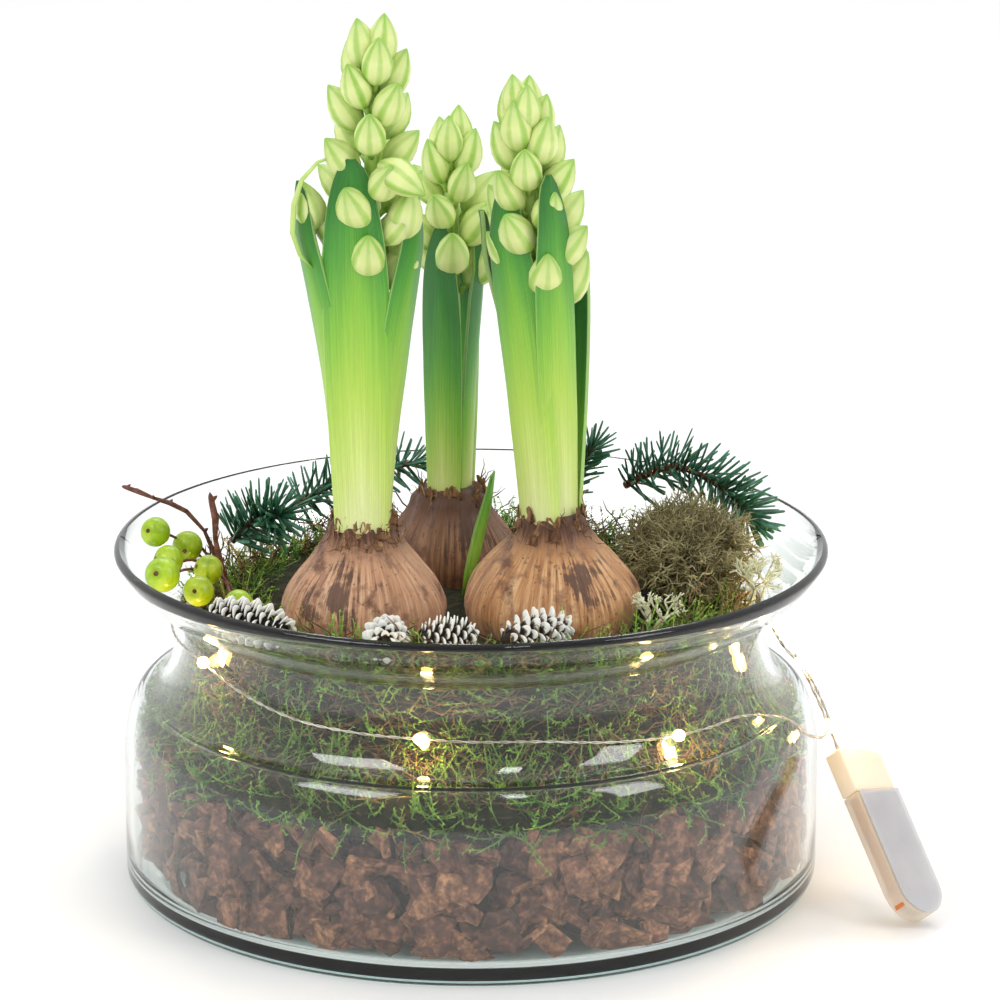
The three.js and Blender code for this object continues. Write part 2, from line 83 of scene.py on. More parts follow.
def primitive(kind: Primitive, name: str, **sizes: object) -> bpy.types.Object:
    """Adds a primitive.

    Args:
        kind: Which primitive it is.
        name: The new object's name.
        sizes: The operator's own settings, in metres.

    Returns:
        The new object, alone selected and active.
    """
    deselect()
    getattr(bpy.ops.mesh, kind.value)(**sizes)
    piece = bpy.context.active_object
    piece.name = name
    piece.data.name = name
    return piece


@contextmanager
def editing(piece: bpy.types.Object) -> Iterator[bmesh.types.BMesh]:
    """Opens a piece in edit mode with nothing selected.

    Args:
        piece: The mesh object to shape.

    Yields:
        The mesh being edited.
    """
    deselect()
    bpy.context.view_layer.objects.active = piece
    piece.select_set(True)
    bpy.ops.object.mode_set(mode="EDIT")
    bpy.ops.mesh.select_mode(type="VERT")
    bpy.ops.mesh.select_all(action="DESELECT")
    yield bmesh.from_edit_mesh(piece.data)
    bpy.ops.object.mode_set(mode="OBJECT")


def pick_faces(piece: bpy.types.Object, test: Callable[[bmesh.types.BMFace], bool]) -> None:
    """Selects the faces that pass a test, and no others, in edit mode."""
    bpy.ops.mesh.select_all(action="DESELECT")
    bpy.ops.mesh.select_mode(type="FACE")
    shape = bmesh.from_edit_mesh(piece.data)
    for face in shape.faces:
        face.select_set(test(face))
    bmesh.update_edit_mesh(piece.data)


def modify(piece: bpy.types.Object, kind: str, **settings: object) -> None:
    """Adds a modifier to a piece and applies it."""
    deselect()
    bpy.context.view_layer.objects.active = piece
    piece.select_set(True)
    modifier = piece.modifiers.new(kind.lower(), kind)
    for key, value in settings.items():
        setattr(modifier, key, value)
    bpy.ops.object.modifier_apply(modifier=modifier.name)


def reshape(piece: bpy.types.Object, move: Callable[[Vector], Sequence[float]]) -> None:
    """Moves every point of a piece to where a function says."""
    for vertex in piece.data.vertices:
        vertex.co = move(vertex.co.copy())
    piece.data.update()


def smooth(piece: bpy.types.Object, angle: float | None = None) -> None:
    """Shades a piece smooth, or smooth up to an angle in degrees."""
    deselect()
    bpy.context.view_layer.objects.active = piece
    piece.select_set(True)
    if angle is None:
        bpy.ops.object.shade_smooth()
    else:
        bpy.ops.object.shade_smooth_by_angle(angle=math.radians(angle))


def joined(name: str, pieces: Sequence[bpy.types.Object]) -> bpy.types.Object:
    """Joins pieces into one, which keeps the materials of all."""
    deselect()
    for piece in pieces:
        piece.select_set(True)
    bpy.context.view_layer.objects.active = pieces[0]
    if len(pieces) > 1:
        bpy.ops.object.join()
    pieces[0].name = name
    pieces[0].data.name = name
    return pieces[0]


def turned(name: str, profile: Profile, steps: int) -> bpy.types.Object:
    """Spins a profile round Z, as on a lathe.

    Args:
        name: The new object's name.
        profile: Radius and height of each point, in mm, from foot to top.
        steps: How many steps one turn has.

    Returns:
        A closed piece with its faces outwards.
    """
    piece = primitive(Primitive.SHEET, name, size=MM)
    with editing(piece):
        bpy.ops.mesh.select_all(action="SELECT")
        bpy.ops.mesh.merge(type="CENTER")
        radius, height = profile[0]
        bpy.ops.transform.translate(value=(radius * MM, 0, height * MM))
        for (r0, z0), (r1, z1) in zip(profile, profile[1:]):
            step = ((r1 - r0) * MM, 0, (z1 - z0) * MM)
            bpy.ops.mesh.extrude_vertices_move(TRANSFORM_OT_translate={"value": step})
        bpy.ops.mesh.select_all(action="SELECT")
        bpy.ops.mesh.spin(steps=steps, angle=2 * math.pi, center=(0, 0, 0), axis=(0, 0, 1))
        bpy.ops.mesh.select_all(action="SELECT")
        bpy.ops.mesh.remove_doubles(threshold=0.01 * MM)
        bpy.ops.mesh.normals_make_consistent(inside=False)
    return piece


def wave(x: float, y: float, z: float, size: float, seed: float = 0.0) -> float:
    """A smooth random number from about -1 to 1 at a point in mm, with bumps of a size in mm."""
    return noise.noise(Vector((x / size + seed, y / size - seed, z / size + 3.7 * seed)))


def ease(low: float, high: float, value: float) -> float:
    """Goes smoothly from 0 at low to 1 at high."""
    share = min(1.0, max(0.0, (value - low) / (high - low)))
    return share * share * (3 - 2 * share)


@dataclass
class Shape:
    """A small modelled shape that is copied many times, in mm, standing on the origin along Z.

    Attributes:
        points: Its points, one row each.
        faces: Its faces, as numbers of points.
        marks: Named values at its points that its finish reads, such as 0 at the foot to 1 at the tip.
    """

    points: np.ndarray
    faces: list[tuple[int, ...]]
    marks: dict[str, np.ndarray] = field(default_factory=dict)

    @classmethod
    def taken(cls, piece: bpy.types.Object, **marks: Callable[[Vector], float]) -> "Shape":
        """Takes the mesh of a modelled piece, whose units are mm here, and removes the piece."""
        mesh = piece.data
        points = np.array([v.co for v in mesh.vertices])
        faces = [tuple(p.vertices) for p in mesh.polygons]
        values = {key: np.array([mark(v.co) for v in mesh.vertices]) for key, mark in marks.items()}
        bpy.data.objects.remove(piece)
        return cls(points, faces, values)

    @classmethod
    def merged(cls, shapes: Sequence["Shape"]) -> "Shape":
        """Puts several shapes into one."""
        faces: list[tuple[int, ...]] = []
        count = 0
        for shape in shapes:
            faces += [tuple(i + count for i in face) for face in shape.faces]
            count += len(shape.points)
        keys = shapes[0].marks.keys()
        marks = {key: np.concatenate([s.marks[key] for s in shapes]) for key in keys}
        return cls(np.concatenate([s.points for s in shapes]), faces, marks)


def swept(route: Sequence[Sequence[float]], radii: Sequence[float], sides: int, flat: float = 1.0) -> Shape:
    """Sweeps a ring along a route, with both ends closed.

    Args:
        route: The points of the centre line, in mm.
        radii: The radius at each point.
        sides: How many sides the ring has.
        flat: How thick the ring is for its width.

    Returns:
        The shape, marked along from 0 at its first point to 1 at its last.
    """
    line = np.array(route, float)
    heading = np.gradient(line, axis=0)
    heading /= np.linalg.norm(heading, axis=1)[:, None]
    side = np.cross(heading[0], (0.0, 0.0, 1.0) if abs(heading[0][2]) < 0.9 else (1.0, 0.0, 0.0))
    rings = []
    for ahead, centre, radius in zip(heading, line, radii):
        side = side - ahead * side.dot(ahead)
        side /= np.linalg.norm(side)
        over = np.cross(ahead, side)
        turns = [2 * math.pi * i / sides for i in range(sides)]
        rings += [centre + radius * (math.cos(a) * side + flat * math.sin(a) * over) for a in turns]
    faces = []
    for ring in range(len(line) - 1):
        for i in range(sides):
            low, after = ring * sides + i, ring * sides + (i + 1) % sides
            faces.append((low, after, after + sides, low + sides))
    faces.append(tuple(reversed(range(sides))))
    faces.append(tuple(range(len(rings) - sides, len(rings))))
    along = np.repeat(np.linspace(0, 1, len(line)), sides)
    return Shape(np.array(rings), faces, {"along": along})


def facing(aim: Vector) -> Matrix:
    """The shortest turn that brings Z to a direction."""
    return Vector((0, 0, 1)).rotation_difference(aim).to_matrix()


@dataclass
class Copy:
    """One copy of a shape.

    Attributes:
        shape: What is copied.
        place: Where its foot stands, in mm.
        aim: The direction in which it stands.
        roll: Its turn about that direction, in radians.
        scale: Its size against the shape's, either one number or one for each axis.
        tint: From 0 to 1, how this copy's colour differs from the others.
    """

    shape: Shape
    place: Sequence[float]
    aim: Sequence[float] = (0.0, 0.0, 1.0)
    roll: float = 0.0
    scale: float | Sequence[float] = 1.0
    tint: float = 0.5

    def matrix(self) -> np.ndarray:
        """The copy's place, turn and scale as four rows."""
        turn = facing(Vector(self.aim)) @ Matrix.Rotation(self.roll, 3, "Z")
        sizes = [self.scale] * 3 if isinstance(self.scale, (int, float)) else self.scale
        whole = np.eye(4)
        whole[:3, :3] = np.array(turn) * np.array(sizes)[None, :]
        whole[:3, 3] = self.place
        return whole


def planted(name: str, copies: Sequence[Copy], finish: "Finish",
            confine: Callable[[np.ndarray], np.ndarray] | None = None) -> bpy.types.Object:
    """Makes one piece from many copies.

    Args:
        name: The piece's name.
        copies: The copies, in mm.
        finish: What it is made of.
        confine: Moves the points that would lie outside the bowl, if given.

    Returns:
        The piece, in metres, with a tint and the shapes' marks as attributes.
    """
    points, corners, starts, tints = [], [], [], []
    marks: dict[str, list[np.ndarray]] = {key: [] for key in copies[0].shape.marks}
    groups: dict[int, list[Copy]] = {}
    for copy in copies:
        groups.setdefault(id(copy.shape), []).append(copy)
    count, corner_count = 0, 0
    for group in groups.values():
        shape = group[0].shape
        matrices = np.array([copy.matrix() for copy in group])
        placed = np.einsum("mij,nj->mni", matrices[:, :3, :3], shape.points) + matrices[:, None, :3, 3]
        points.append(placed.reshape(-1, 3))
        flat = np.array([i for face in shape.faces for i in face])
        begins = np.cumsum([0] + [len(face) for face in shape.faces])[:-1]
        steps = np.arange(len(group))[:, None]
        corners.append((flat[None, :] + steps * len(shape.points) + count).ravel())
        starts.append((begins[None, :] + steps * len(flat) + corner_count).ravel())
        count += len(group) * len(shape.points)
        corner_count += len(group) * len(flat)
        tints.append(np.repeat([copy.tint for copy in group], len(shape.points)))
        for key, values in marks.items():
            values.append(np.tile(shape.marks[key], len(group)))
    where = np.concatenate(points)
    if confine is not None:
        where = confine(where)
    mesh = bpy.data.meshes.new(name)
    mesh.vertices.add(count)
    mesh.vertices.foreach_set("co", (where * MM).astype(np.float32).ravel())
    mesh.loops.add(corner_count)
    mesh.loops.foreach_set("vertex_index", np.concatenate(corners).astype(np.int32))
    starts = np.concatenate(starts)
    mesh.polygons.add(len(starts))
    mesh.polygons.foreach_set("loop_start", starts.astype(np.int32))
    mesh.update(calc_edges=True)
    for key, values in {"tint": tints, **marks}.items():
        attribute = mesh.attributes.new(key, "FLOAT", "POINT")
        attribute.data.foreach_set("value", np.concatenate(values).astype(np.float32))
    mesh.polygons.foreach_set("use_smooth", np.ones(len(starts), dtype=bool))
    piece = bpy.data.objects.new(name, mesh)
    bpy.context.scene.collection.objects.link(piece)
    piece.data.materials.append(finish.material())
    return piece


def declare(piece: bpy.types.Object, slot: str, *nodes: str) -> bpy.types.Object:
    """Hangs a piece on the root body, hides the CAD nodes that it stands for, and logs its size."""
    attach(piece, "root")
    if nodes:
        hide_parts(*nodes)
    LOG.info("%s: %d faces, stands for %s", piece.name, len(piece.data.polygons), ", ".join(nodes) or "nothing")
    return piece


# ---- Finishes -----------------------------------------------------------------------------------


def linear(code: str) -> Colour:
    """Turns an sRGB hex colour into a linear one with full alpha."""
    parts = [int(code[i:i + 2], 16) / 255 for i in (1, 3, 5)]
    red, green, blue = (p / 12.92 if p <= 0.04045 else ((p + 0.055) / 1.055) ** 2.4 for p in parts)
    return red, green, blue, 1.0


def add(tree: bpy.types.NodeTree, kind: str, inputs: dict | None = None,
        stops: Sequence[tuple[float, str]] = (), **settings: object) -> bpy.types.Node:
    """Adds a shader node.

    Args:
        tree: The node tree that it joins.
        kind: The node's type without its "ShaderNode".
        inputs: What goes into its sockets: another node's socket, a hex colour or a value.
        stops: The places and colours of its colour ramp, if it has one.
        settings: Its own settings.

    Returns:
        The new node.
    """
    made = tree.nodes.new("ShaderNode" + kind)
    for key, value in settings.items():
        setattr(made, key, value)
    for key, value in (inputs or {}).items():
        socket = made.inputs[key]
        if isinstance(value, bpy.types.NodeSocket):
            tree.links.new(value, socket)
        else:
            socket.default_value = linear(value) if isinstance(value, str) else value
    if stops:
        ramp = made.color_ramp
        ramp.elements.remove(ramp.elements[1])
        ramp.elements[0].position, ramp.elements[0].color = stops[0][0], linear(stops[0][1])
        for place, code in stops[1:]:
            ramp.elements.new(place).color = linear(code)
    return made


@dataclass(frozen=True)
class Finish:
    """What a surface is made of.

    Attributes:
        name: The material's name.
        roughness: How rough it is, from 0 to 1.
    """

    name: str
    roughness: float

    def material(self) -> bpy.types.Material:
        """Builds the material, or returns it if another piece has it already."""
        known = bpy.data.materials.get(self.name)
        if known is not None:
            return known
        made = bpy.data.materials.new(self.name)
        made.use_nodes = True
        shader = made.node_tree.nodes["Principled BSDF"]
        shader.inputs["Roughness"].default_value = self.roughness
        self.dress(made.node_tree, shader)
        return made

    def dress(self, tree: bpy.types.NodeTree, shader: bpy.types.Node) -> None:
        """Adds the finish's own nodes."""
        raise NotImplementedError

    def relief(self, tree: bpy.types.NodeTree, shader: bpy.types.Node, height: bpy.types.NodeSocket,
               depth_mm: float) -> None:
        """Gives the surface bumps as deep as depth_mm where height goes from 0 to 1."""
        bump = add(tree, "Bump", {"Height": height, "Distance": depth_mm * MM, "Strength": 0.9})
        tree.links.new(bump.outputs[0], shader.inputs["Normal"])


@dataclass(frozen=True)
class Natural(Finish):
    """A plant's or the earth's surface, mottled and a little different on each copy.

    Attributes:
        shades: Its dark, middle and light colour.
        mottle_mm: The size of its mottling.
        relief_mm: How deep its bumps are.
        tip: The colour that it goes to at its tip, or none.
        tip_from: Where on its length that starts.
        vary: How far copies differ in brightness.
        stretch: How much longer its mottling is along Z.
        soft: How much light goes into the surface.
    """

    shades: tuple[str, str, str] = ("#000000", "#808080", "#ffffff")
    mottle_mm: float = 2.0
    relief_mm: float = 0.3
    tip: str = ""
    tip_from: float = 0.5
    vary: float = 0.3
    stretch: float = 1.0
    soft: float = 0.0

    def dress(self, tree: bpy.types.NodeTree, shader: bpy.types.Node) -> None:
        """Mottles the colour, turns it at the tip, and varies it by each copy's tint."""
        place = add(tree, "TexCoord").outputs["Object"]
        spread = add(tree, "Mapping", {"Vector": place, "Scale": (1, 1, 1 / self.stretch)}).outputs[0]
        spots = add(tree, "TexNoise", {"Vector": spread, "Scale": 1 / (self.mottle_mm * MM), "Detail": 4.0,
                                       "Roughness": 0.62}).outputs[0]
        dark, middle, light = self.shades
        colour = add(tree, "ValToRGB", {"Fac": spots}, stops=[(0.3, dark), (0.5, middle), (0.7, light)]).outputs[0]
        if self.tip:
            along = add(tree, "Attribute", attribute_name="along").outputs["Fac"]
            share = add(tree, "MapRange", {"Value": along, 1: self.tip_from, 2: 1.0}).outputs[0]
            colour = add(tree, "Mix", {0: share, 6: colour, 7: self.tip}, data_type="RGBA").outputs[2]
        tint = add(tree, "Attribute", attribute_name="tint").outputs["Fac"]
        value = add(tree, "MapRange", {"Value": tint, 3: 1 - self.vary, 4: 1 + self.vary}).outputs[0]
        hue = add(tree, "MapRange", {"Value": tint, 3: 0.49, 4: 0.51}).outputs[0]
        varied = add(tree, "HueSaturation", {"Color": colour, "Value": value, "Hue": hue}).outputs[0]
        tree.links.new(varied, shader.inputs["Base Color"])
        if self.soft:
            shader.inputs["Subsurface Weight"].default_value = self.soft
            shader.inputs["Subsurface Radius"].default_value = (1.6 * MM, 1.4 * MM, 0.5 * MM)
            shader.inputs["Subsurface Scale"].default_value = 1.0
        self.relief(tree, shader, spots, self.relief_mm)


@dataclass(frozen=True)
class BlownGlass(Finish):
    """Soda-lime glass, mould-blown: clear where one looks straight through its wall, and grey-green
    where one looks along it, since iron in it takes the red out over a long way."""

    face: str = "#fbfefd"
    edge: str = "#c3d0cd"
    body: str = "#5fb8ae"
    density: float = 3.5
    ior: float = 1.5
    most_turns: float = 6.5

    def dress(self, tree: bpy.types.NodeTree, shader: bpy.types.Node) -> None:
        """Tints the glass by how it faces the eye, and lets lamps shine on what is in the bowl."""
        facing = add(tree, "LayerWeight", {"Blend": 0.35}).outputs["Facing"]
        tinted = add(tree, "ValToRGB", {"Fac": facing},
                     stops=[(0.0, self.face), (0.6, "#f6fbfa"), (0.88, "#e3ecea"), (1.0, self.edge)]).outputs[0]
        tree.links.new(tinted, shader.inputs["Base Color"])
        shader.inputs["Transmission Weight"].default_value = 1.0
        shader.inputs["IOR"].default_value = self.ior
        path = add(tree, "LightPath")
        through = add(tree, "Math", {0: path.outputs["Is Shadow Ray"], 1: path.outputs["Is Diffuse Ray"]},
                      operation="MAXIMUM").outputs[0]
        deep = add(tree, "Math", {0: path.outputs["Transmission Depth"], 1: self.most_turns},
                   operation="GREATER_THAN").outputs[0]
        through = add(tree, "Math", {0: through, 1: deep}, operation="MAXIMUM").outputs[0]
        clear = add(tree, "BsdfTransparent", {"Color": "#f4faf8"})
        mixed = add(tree, "MixShader", {0: through, 1: shader.outputs[0], 2: clear.outputs[0]})
        body = add(tree, "VolumeAbsorption", {"Color": self.body, "Density": self.density})
        output = tree.nodes["Material Output"]
        tree.links.new(mixed.outputs[0], output.inputs["Surface"])
        tree.links.new(body.outputs[0], output.inputs["Volume"])


@dataclass(frozen=True)
class BulbSkin(Finish):
    """The dry papery tunic of a bulb: fine veins run from foot to neck, and old skin has come off in
    patches, so that dark scabs lie beside pale new skin.

    Attributes:
        centre: The bulb's axis, in mm.
        low: The height of its foot, in mm.
        high: The height of its neck, in mm.
        skin: Its dark, middle and light colour.
        scab: The place of its darkest patch, in mm.
    """

    centre: tuple[float, float] = (0.0, 0.0)
    low: float = 90.0
    high: float = 147.0
    skin: tuple[str, str, str] = ("#8a5a3c", "#b98a66", "#dcb48c")
    scab: Point = (0.0, 0.0, 0.0)
    scab_mm: float = 12.0

    def dress(self, tree: bpy.types.NodeTree, shader: bpy.types.Node) -> None:
        """Draws veins round the axis, patches, one scab, and a darker neck."""
        x, y = self.centre
        place = add(tree, "TexCoord").outputs["Object"]
        local = add(tree, "Mapping", {"Vector": place, "Location": (-x * MM, -y * MM, -self.low * MM)}).outputs[0]
        flat = add(tree, "VectorMath", {0: local, 1: (1, 1, 0)}, operation="MULTIPLY").outputs[0]
        round_axis = add(tree, "VectorMath", {0: flat}, operation="NORMALIZE").outputs[0]
        rise = add(tree, "SeparateXYZ", {0: local}).outputs[2]
        # about 60 veins round the bulb, each a good two centimetres long
        drawn = add(tree, "VectorMath", {0: local, 1: (0, 0, 45), 2: (0, 0, 0)}, operation="MULTIPLY_ADD").outputs[0]
        grain = add(tree, "VectorMath", {0: round_axis, 1: (14, 14, 1), 2: drawn}, operation="MULTIPLY_ADD").outputs[0]
        veins = add(tree, "TexNoise", {"Vector": grain, "Scale": 1.0, "Detail": 5.0, "Roughness": 0.7}).outputs[0]
        dark, middle, light = self.skin
        colour = add(tree, "ValToRGB", {"Fac": veins}, stops=[(0.33, dark), (0.5, middle), (0.66, light)]).outputs[0]
        broad = add(tree, "TexNoise", {"Vector": local, "Scale": 95.0, "Detail": 6.0, "Roughness": 0.6}).outputs[0]
        worn = add(tree, "ValToRGB", {"Fac": broad}, stops=[(0.52, "#000000"), (0.66, "#ffffff")]).outputs[0]
        colour = add(tree, "Mix", {0: worn, 6: colour, 7: "#6b4029"}, data_type="RGBA").outputs[2]
        fine = add(tree, "TexNoise", {"Vector": local, "Scale": 520.0, "Detail": 3.0}).outputs[0]
        specks = add(tree, "ValToRGB", {"Fac": fine}, stops=[(0.63, "#000000"), (0.68, "#ffffff")]).outputs[0]
        half = add(tree, "Math", {0: specks, 1: 0.6}, operation="MULTIPLY").outputs[0]
        colour = add(tree, "Mix", {0: half, 6: colour, 7: "#4a2a1c"}, data_type="RGBA").outputs[2]
        sx, sy, sz = (value * MM for value in self.scab)
        away = add(tree, "VectorMath", {0: place, 1: (sx, sy, sz)}, operation="DISTANCE").outputs["Value"]
        streaked = add(tree, "Math", {0: veins, 1: 0.045, 2: away}, operation="MULTIPLY_ADD").outputs[0]
        ragged = add(tree, "Math", {0: broad, 1: 0.06, 2: streaked}, operation="MULTIPLY_ADD").outputs[0]
        near = add(tree, "MapRange", {"Value": ragged, 1: (self.scab_mm + 46) * MM, 2: (self.scab_mm + 52) * MM,
                                      3: 0.85, 4: 0.0}).outputs[0]
        colour = add(tree, "Mix", {0: near, 6: colour, 7: "#46271a"}, data_type="RGBA").outputs[2]
        top = (self.high - self.low) * MM
        jagged = add(tree, "Math", {0: veins, 1: 0.03, 2: rise}, operation="MULTIPLY_ADD").outputs[0]
        crown = add(tree, "MapRange", {"Value": jagged, 1: top + 0.001, 2: top + 0.009}).outputs[0]
        colour = add(tree, "Mix", {0: crown, 6: colour, 7: "#5a3622"}, data_type="RGBA").outputs[2]
        tree.links.new(colour, shader.inputs["Base Color"])
        shader.inputs["Sheen Weight"].default_value = 0.15
        self.relief(tree, shader, veins, 1.1)


@dataclass(frozen=True)
class LeafBlade(Finish):
    """A fresh hyacinth leaf: waxy, with fine veins along it, pale where light never reached it in the
    bulb and dark at its tip. It reads across and along from the blade's own map."""

    shades: tuple[tuple[float, str], ...] = (
        (0.0, "#e6eda6"), (0.14, "#d3e57e"), (0.34, "#b4d650"), (0.55, "#86c138"), (0.75, "#4f9e2c"),
        (0.92, "#2f7f28"), (1.0, "#2c7426"))
    veins: float = 26.0

    def dress(self, tree: bpy.types.NodeTree, shader: bpy.types.Node) -> None:
        """Colours the blade from foot to tip, with veins, painted shade that deepens towards its rim, and a light rim
        line.
        """
        where = add(tree, "UVMap", uv_map="UVMap").outputs[0]
        split = add(tree, "SeparateXYZ", {0: where})
        across, along = split.outputs[0], split.outputs[1]
        stretched = add(tree, "Mapping", {"Vector": where, "Scale": (9, 1.6, 1)}).outputs[0]
        blur = add(tree, "TexNoise", {"Vector": stretched, "Scale": 2.2, "Detail": 3.0}).outputs[0]
        side = add(tree, "Math", {0: add(tree, "Math", {0: across, 1: 0.5}, operation="SUBTRACT").outputs[0]},
                   operation="ABSOLUTE").outputs[0]
        pushed = add(tree, "Math", {0: blur, 1: 0.16, 2: along}, operation="MULTIPLY_ADD").outputs[0]
        # painted shade: the colour is pushed darker towards both edges of the blade, where it curls away from the light
        edge_shaded = add(tree, "Math", {0: side, 1: 0.34, 2: pushed}, operation="MULTIPLY_ADD").outputs[0]
        leaf_age_and_edge_shade = add(tree, "Math", {0: edge_shaded, 1: 0.16}, operation="SUBTRACT").outputs[0]
        colour = add(tree, "ValToRGB", {"Fac": leaf_age_and_edge_shade}, stops=self.shades).outputs[0]
        ribs = add(tree, "Math", {0: across, 1: self.veins * 2 * math.pi}, operation="MULTIPLY").outputs[0]
        lines = add(tree, "Math", {0: ribs}, operation="SINE").outputs[0]
        drawn = add(tree, "Mapping", {"Vector": where, "Scale": (70, 2.5, 1)}).outputs[0]
        fibres = add(tree, "TexNoise", {"Vector": drawn, "Scale": 1.0, "Detail": 3.0}).outputs[0]
        value = add(tree, "MapRange", {"Value": fibres, 1: 0.25, 2: 0.75, 3: 0.84, 4: 1.14}).outputs[0]
        colour = add(tree, "HueSaturation", {"Color": colour, "Value": value}).outputs[0]
        rim = add(tree, "MapRange", {"Value": side, 1: 0.478, 2: 0.497}).outputs[0]
        fresh = add(tree, "Math", {0: rim, 1: 0.55}, operation="MULTIPLY").outputs[0]
        colour = add(tree, "Mix", {0: fresh, 6: colour, 7: "#c3df8c"}, data_type="RGBA").outputs[2]
        tree.links.new(colour, shader.inputs["Base Color"])
        shader.inputs["Subsurface Weight"].default_value = 0.25
        shader.inputs["Subsurface Radius"].default_value = (1.0 * MM, 1.2 * MM, 0.3 * MM)
        shader.inputs["Subsurface Scale"].default_value = 1.0
        shader.inputs["Coat Weight"].default_value = 0.12
        shader.inputs["Coat Roughness"].default_value = 0.3
        height = add(tree, "Math", {0: lines, 1: 0.3, 2: fibres}, operation="MULTIPLY_ADD").outputs[0]
        self.relief(tree, shader, height, 0.16)


@dataclass(frozen=True)
class BudSkin(Finish):
    """Closed petals of a white hyacinth: cream with a green stripe down the back of each and a
    greener tip, smooth and a little translucent."""

    cream: str = "#e2eaa2"
    green: str = "#8fbf3a"
    tip: str = "#76b02c"

    def dress(self, tree: bpy.types.NodeTree, shader: bpy.types.Node) -> None:
        """Draws the stripes from the bud's own marks."""
        stripe = add(tree, "Attribute", attribute_name="stripe").outputs["Fac"]
        along = add(tree, "Attribute", attribute_name="along").outputs["Fac"]
        tint = add(tree, "Attribute", attribute_name="tint").outputs["Fac"]
        place = add(tree, "TexCoord").outputs["Object"]
        blur = add(tree, "TexNoise", {"Vector": place, "Scale": 260.0, "Detail": 3.0}).outputs[0]
        broken = add(tree, "Math", {0: blur, 1: 0.5, 2: stripe}, operation="MULTIPLY_ADD").outputs[0]
        line = add(tree, "MapRange", {"Value": broken, 1: 0.4, 2: 1.15}).outputs[0]
        fade = add(tree, "MapRange", {"Value": tint, 3: 0.6, 4: 1.0}).outputs[0]
        share = add(tree, "Math", {0: line, 1: fade}, operation="MULTIPLY").outputs[0]
        colour = add(tree, "Mix", {0: share, 6: self.cream, 7: self.green}, data_type="RGBA").outputs[2]
        ends = add(tree, "ValToRGB", {"Fac": along}, stops=[(0.0, "#c0c0c0"), (0.25, "#606060"), (0.6, "#404040"),
                                                           (0.85, "#a0a0a0"), (1.0, "#f0f0f0")]).outputs[0]
        colour = add(tree, "Mix", {0: ends, 6: colour, 7: self.tip}, data_type="RGBA").outputs[2]
        tree.links.new(colour, shader.inputs["Base Color"])
        shader.inputs["Subsurface Weight"].default_value = 0.3
        shader.inputs["Subsurface Radius"].default_value = (1.4 * MM, 1.4 * MM, 0.6 * MM)
        shader.inputs["Subsurface Scale"].default_value = 1.0
        self.relief(tree, shader, blur, 0.12)


@dataclass(frozen=True)
class FrostedScale(Finish):
    """A dry cone scale, nearly black inside, whose edge is dusted with white frosting."""

    dark: str = "#2a201c"
    frost: str = "#f2f0ea"

    def dress(self, tree: bpy.types.NodeTree, shader: bpy.types.Node) -> None:
        """Lays the frosting on the edge, broken up in grains of half a millimetre."""
        along = add(tree, "Attribute", attribute_name="along").outputs["Fac"]
        place = add(tree, "TexCoord").outputs["Object"]
        grains = add(tree, "TexNoise", {"Vector": place, "Scale": 900.0, "Detail": 3.0}).outputs[0]
        edge = add(tree, "Math", {0: grains, 1: 0.5, 2: along}, operation="MULTIPLY_ADD").outputs[0]
        colour = add(tree, "ValToRGB", {"Fac": edge}, stops=[(0.72, self.dark), (0.86, "#7a6a5c"),
                                                            (0.98, self.frost)]).outputs[0]
        tree.links.new(colour, shader.inputs["Base Color"])
        self.relief(tree, shader, grains, 0.3)


@dataclass(frozen=True)
class DrawnWire(Finish):
    """Tinned copper, drawn: bright, with faint streaks of the die along it."""

    colour: str = "#d9d4c8"

    def dress(self, tree: bpy.types.NodeTree, shader: bpy.types.Node) -> None:
        """Makes it metal, a little duller in places."""
        place = add(tree, "TexCoord").outputs["Object"]
        spots = add(tree, "TexNoise", {"Vector": place, "Scale": 300.0, "Detail": 3.0}).outputs[0]
        dull = add(tree, "MapRange", {"Value": spots, 3: self.roughness - 0.1, 4: self.roughness + 0.15}).outputs[0]
        tone = add(tree, "ValToRGB", {"Fac": spots}, stops=[(0.3, "#a9a295"), (0.6, self.colour)]).outputs[0]
        tree.links.new(tone, shader.inputs["Base Color"])
        tree.links.new(dull, shader.inputs["Roughness"])
        shader.inputs["Metallic"].default_value = 1.0


@dataclass(frozen=True)
class LampResin(Finish):
    """A drop of clear epoxy round a lit chip: white-hot in its middle and amber at its edge."""

    heart: str = "#fff6cf"
    edge: str = "#ffb640"
    power: float = 9.0

    def dress(self, tree: bpy.types.NodeTree, shader: bpy.types.Node) -> None:
        """Lets the drop glow, warmer where it turns away."""
        facing = add(tree, "LayerWeight", {"Blend": 0.3}).outputs["Facing"]
        glow = add(tree, "ValToRGB", {"Fac": facing}, stops=[(0.0, self.heart), (0.5, "#ffe08a"), (0.95, self.edge)])
        tree.links.new(glow.outputs[0], shader.inputs["Emission Color"])
        shader.inputs["Emission Strength"].default_value = self.power
        shader.inputs["Base Color"].default_value = linear("#ffe9b8")


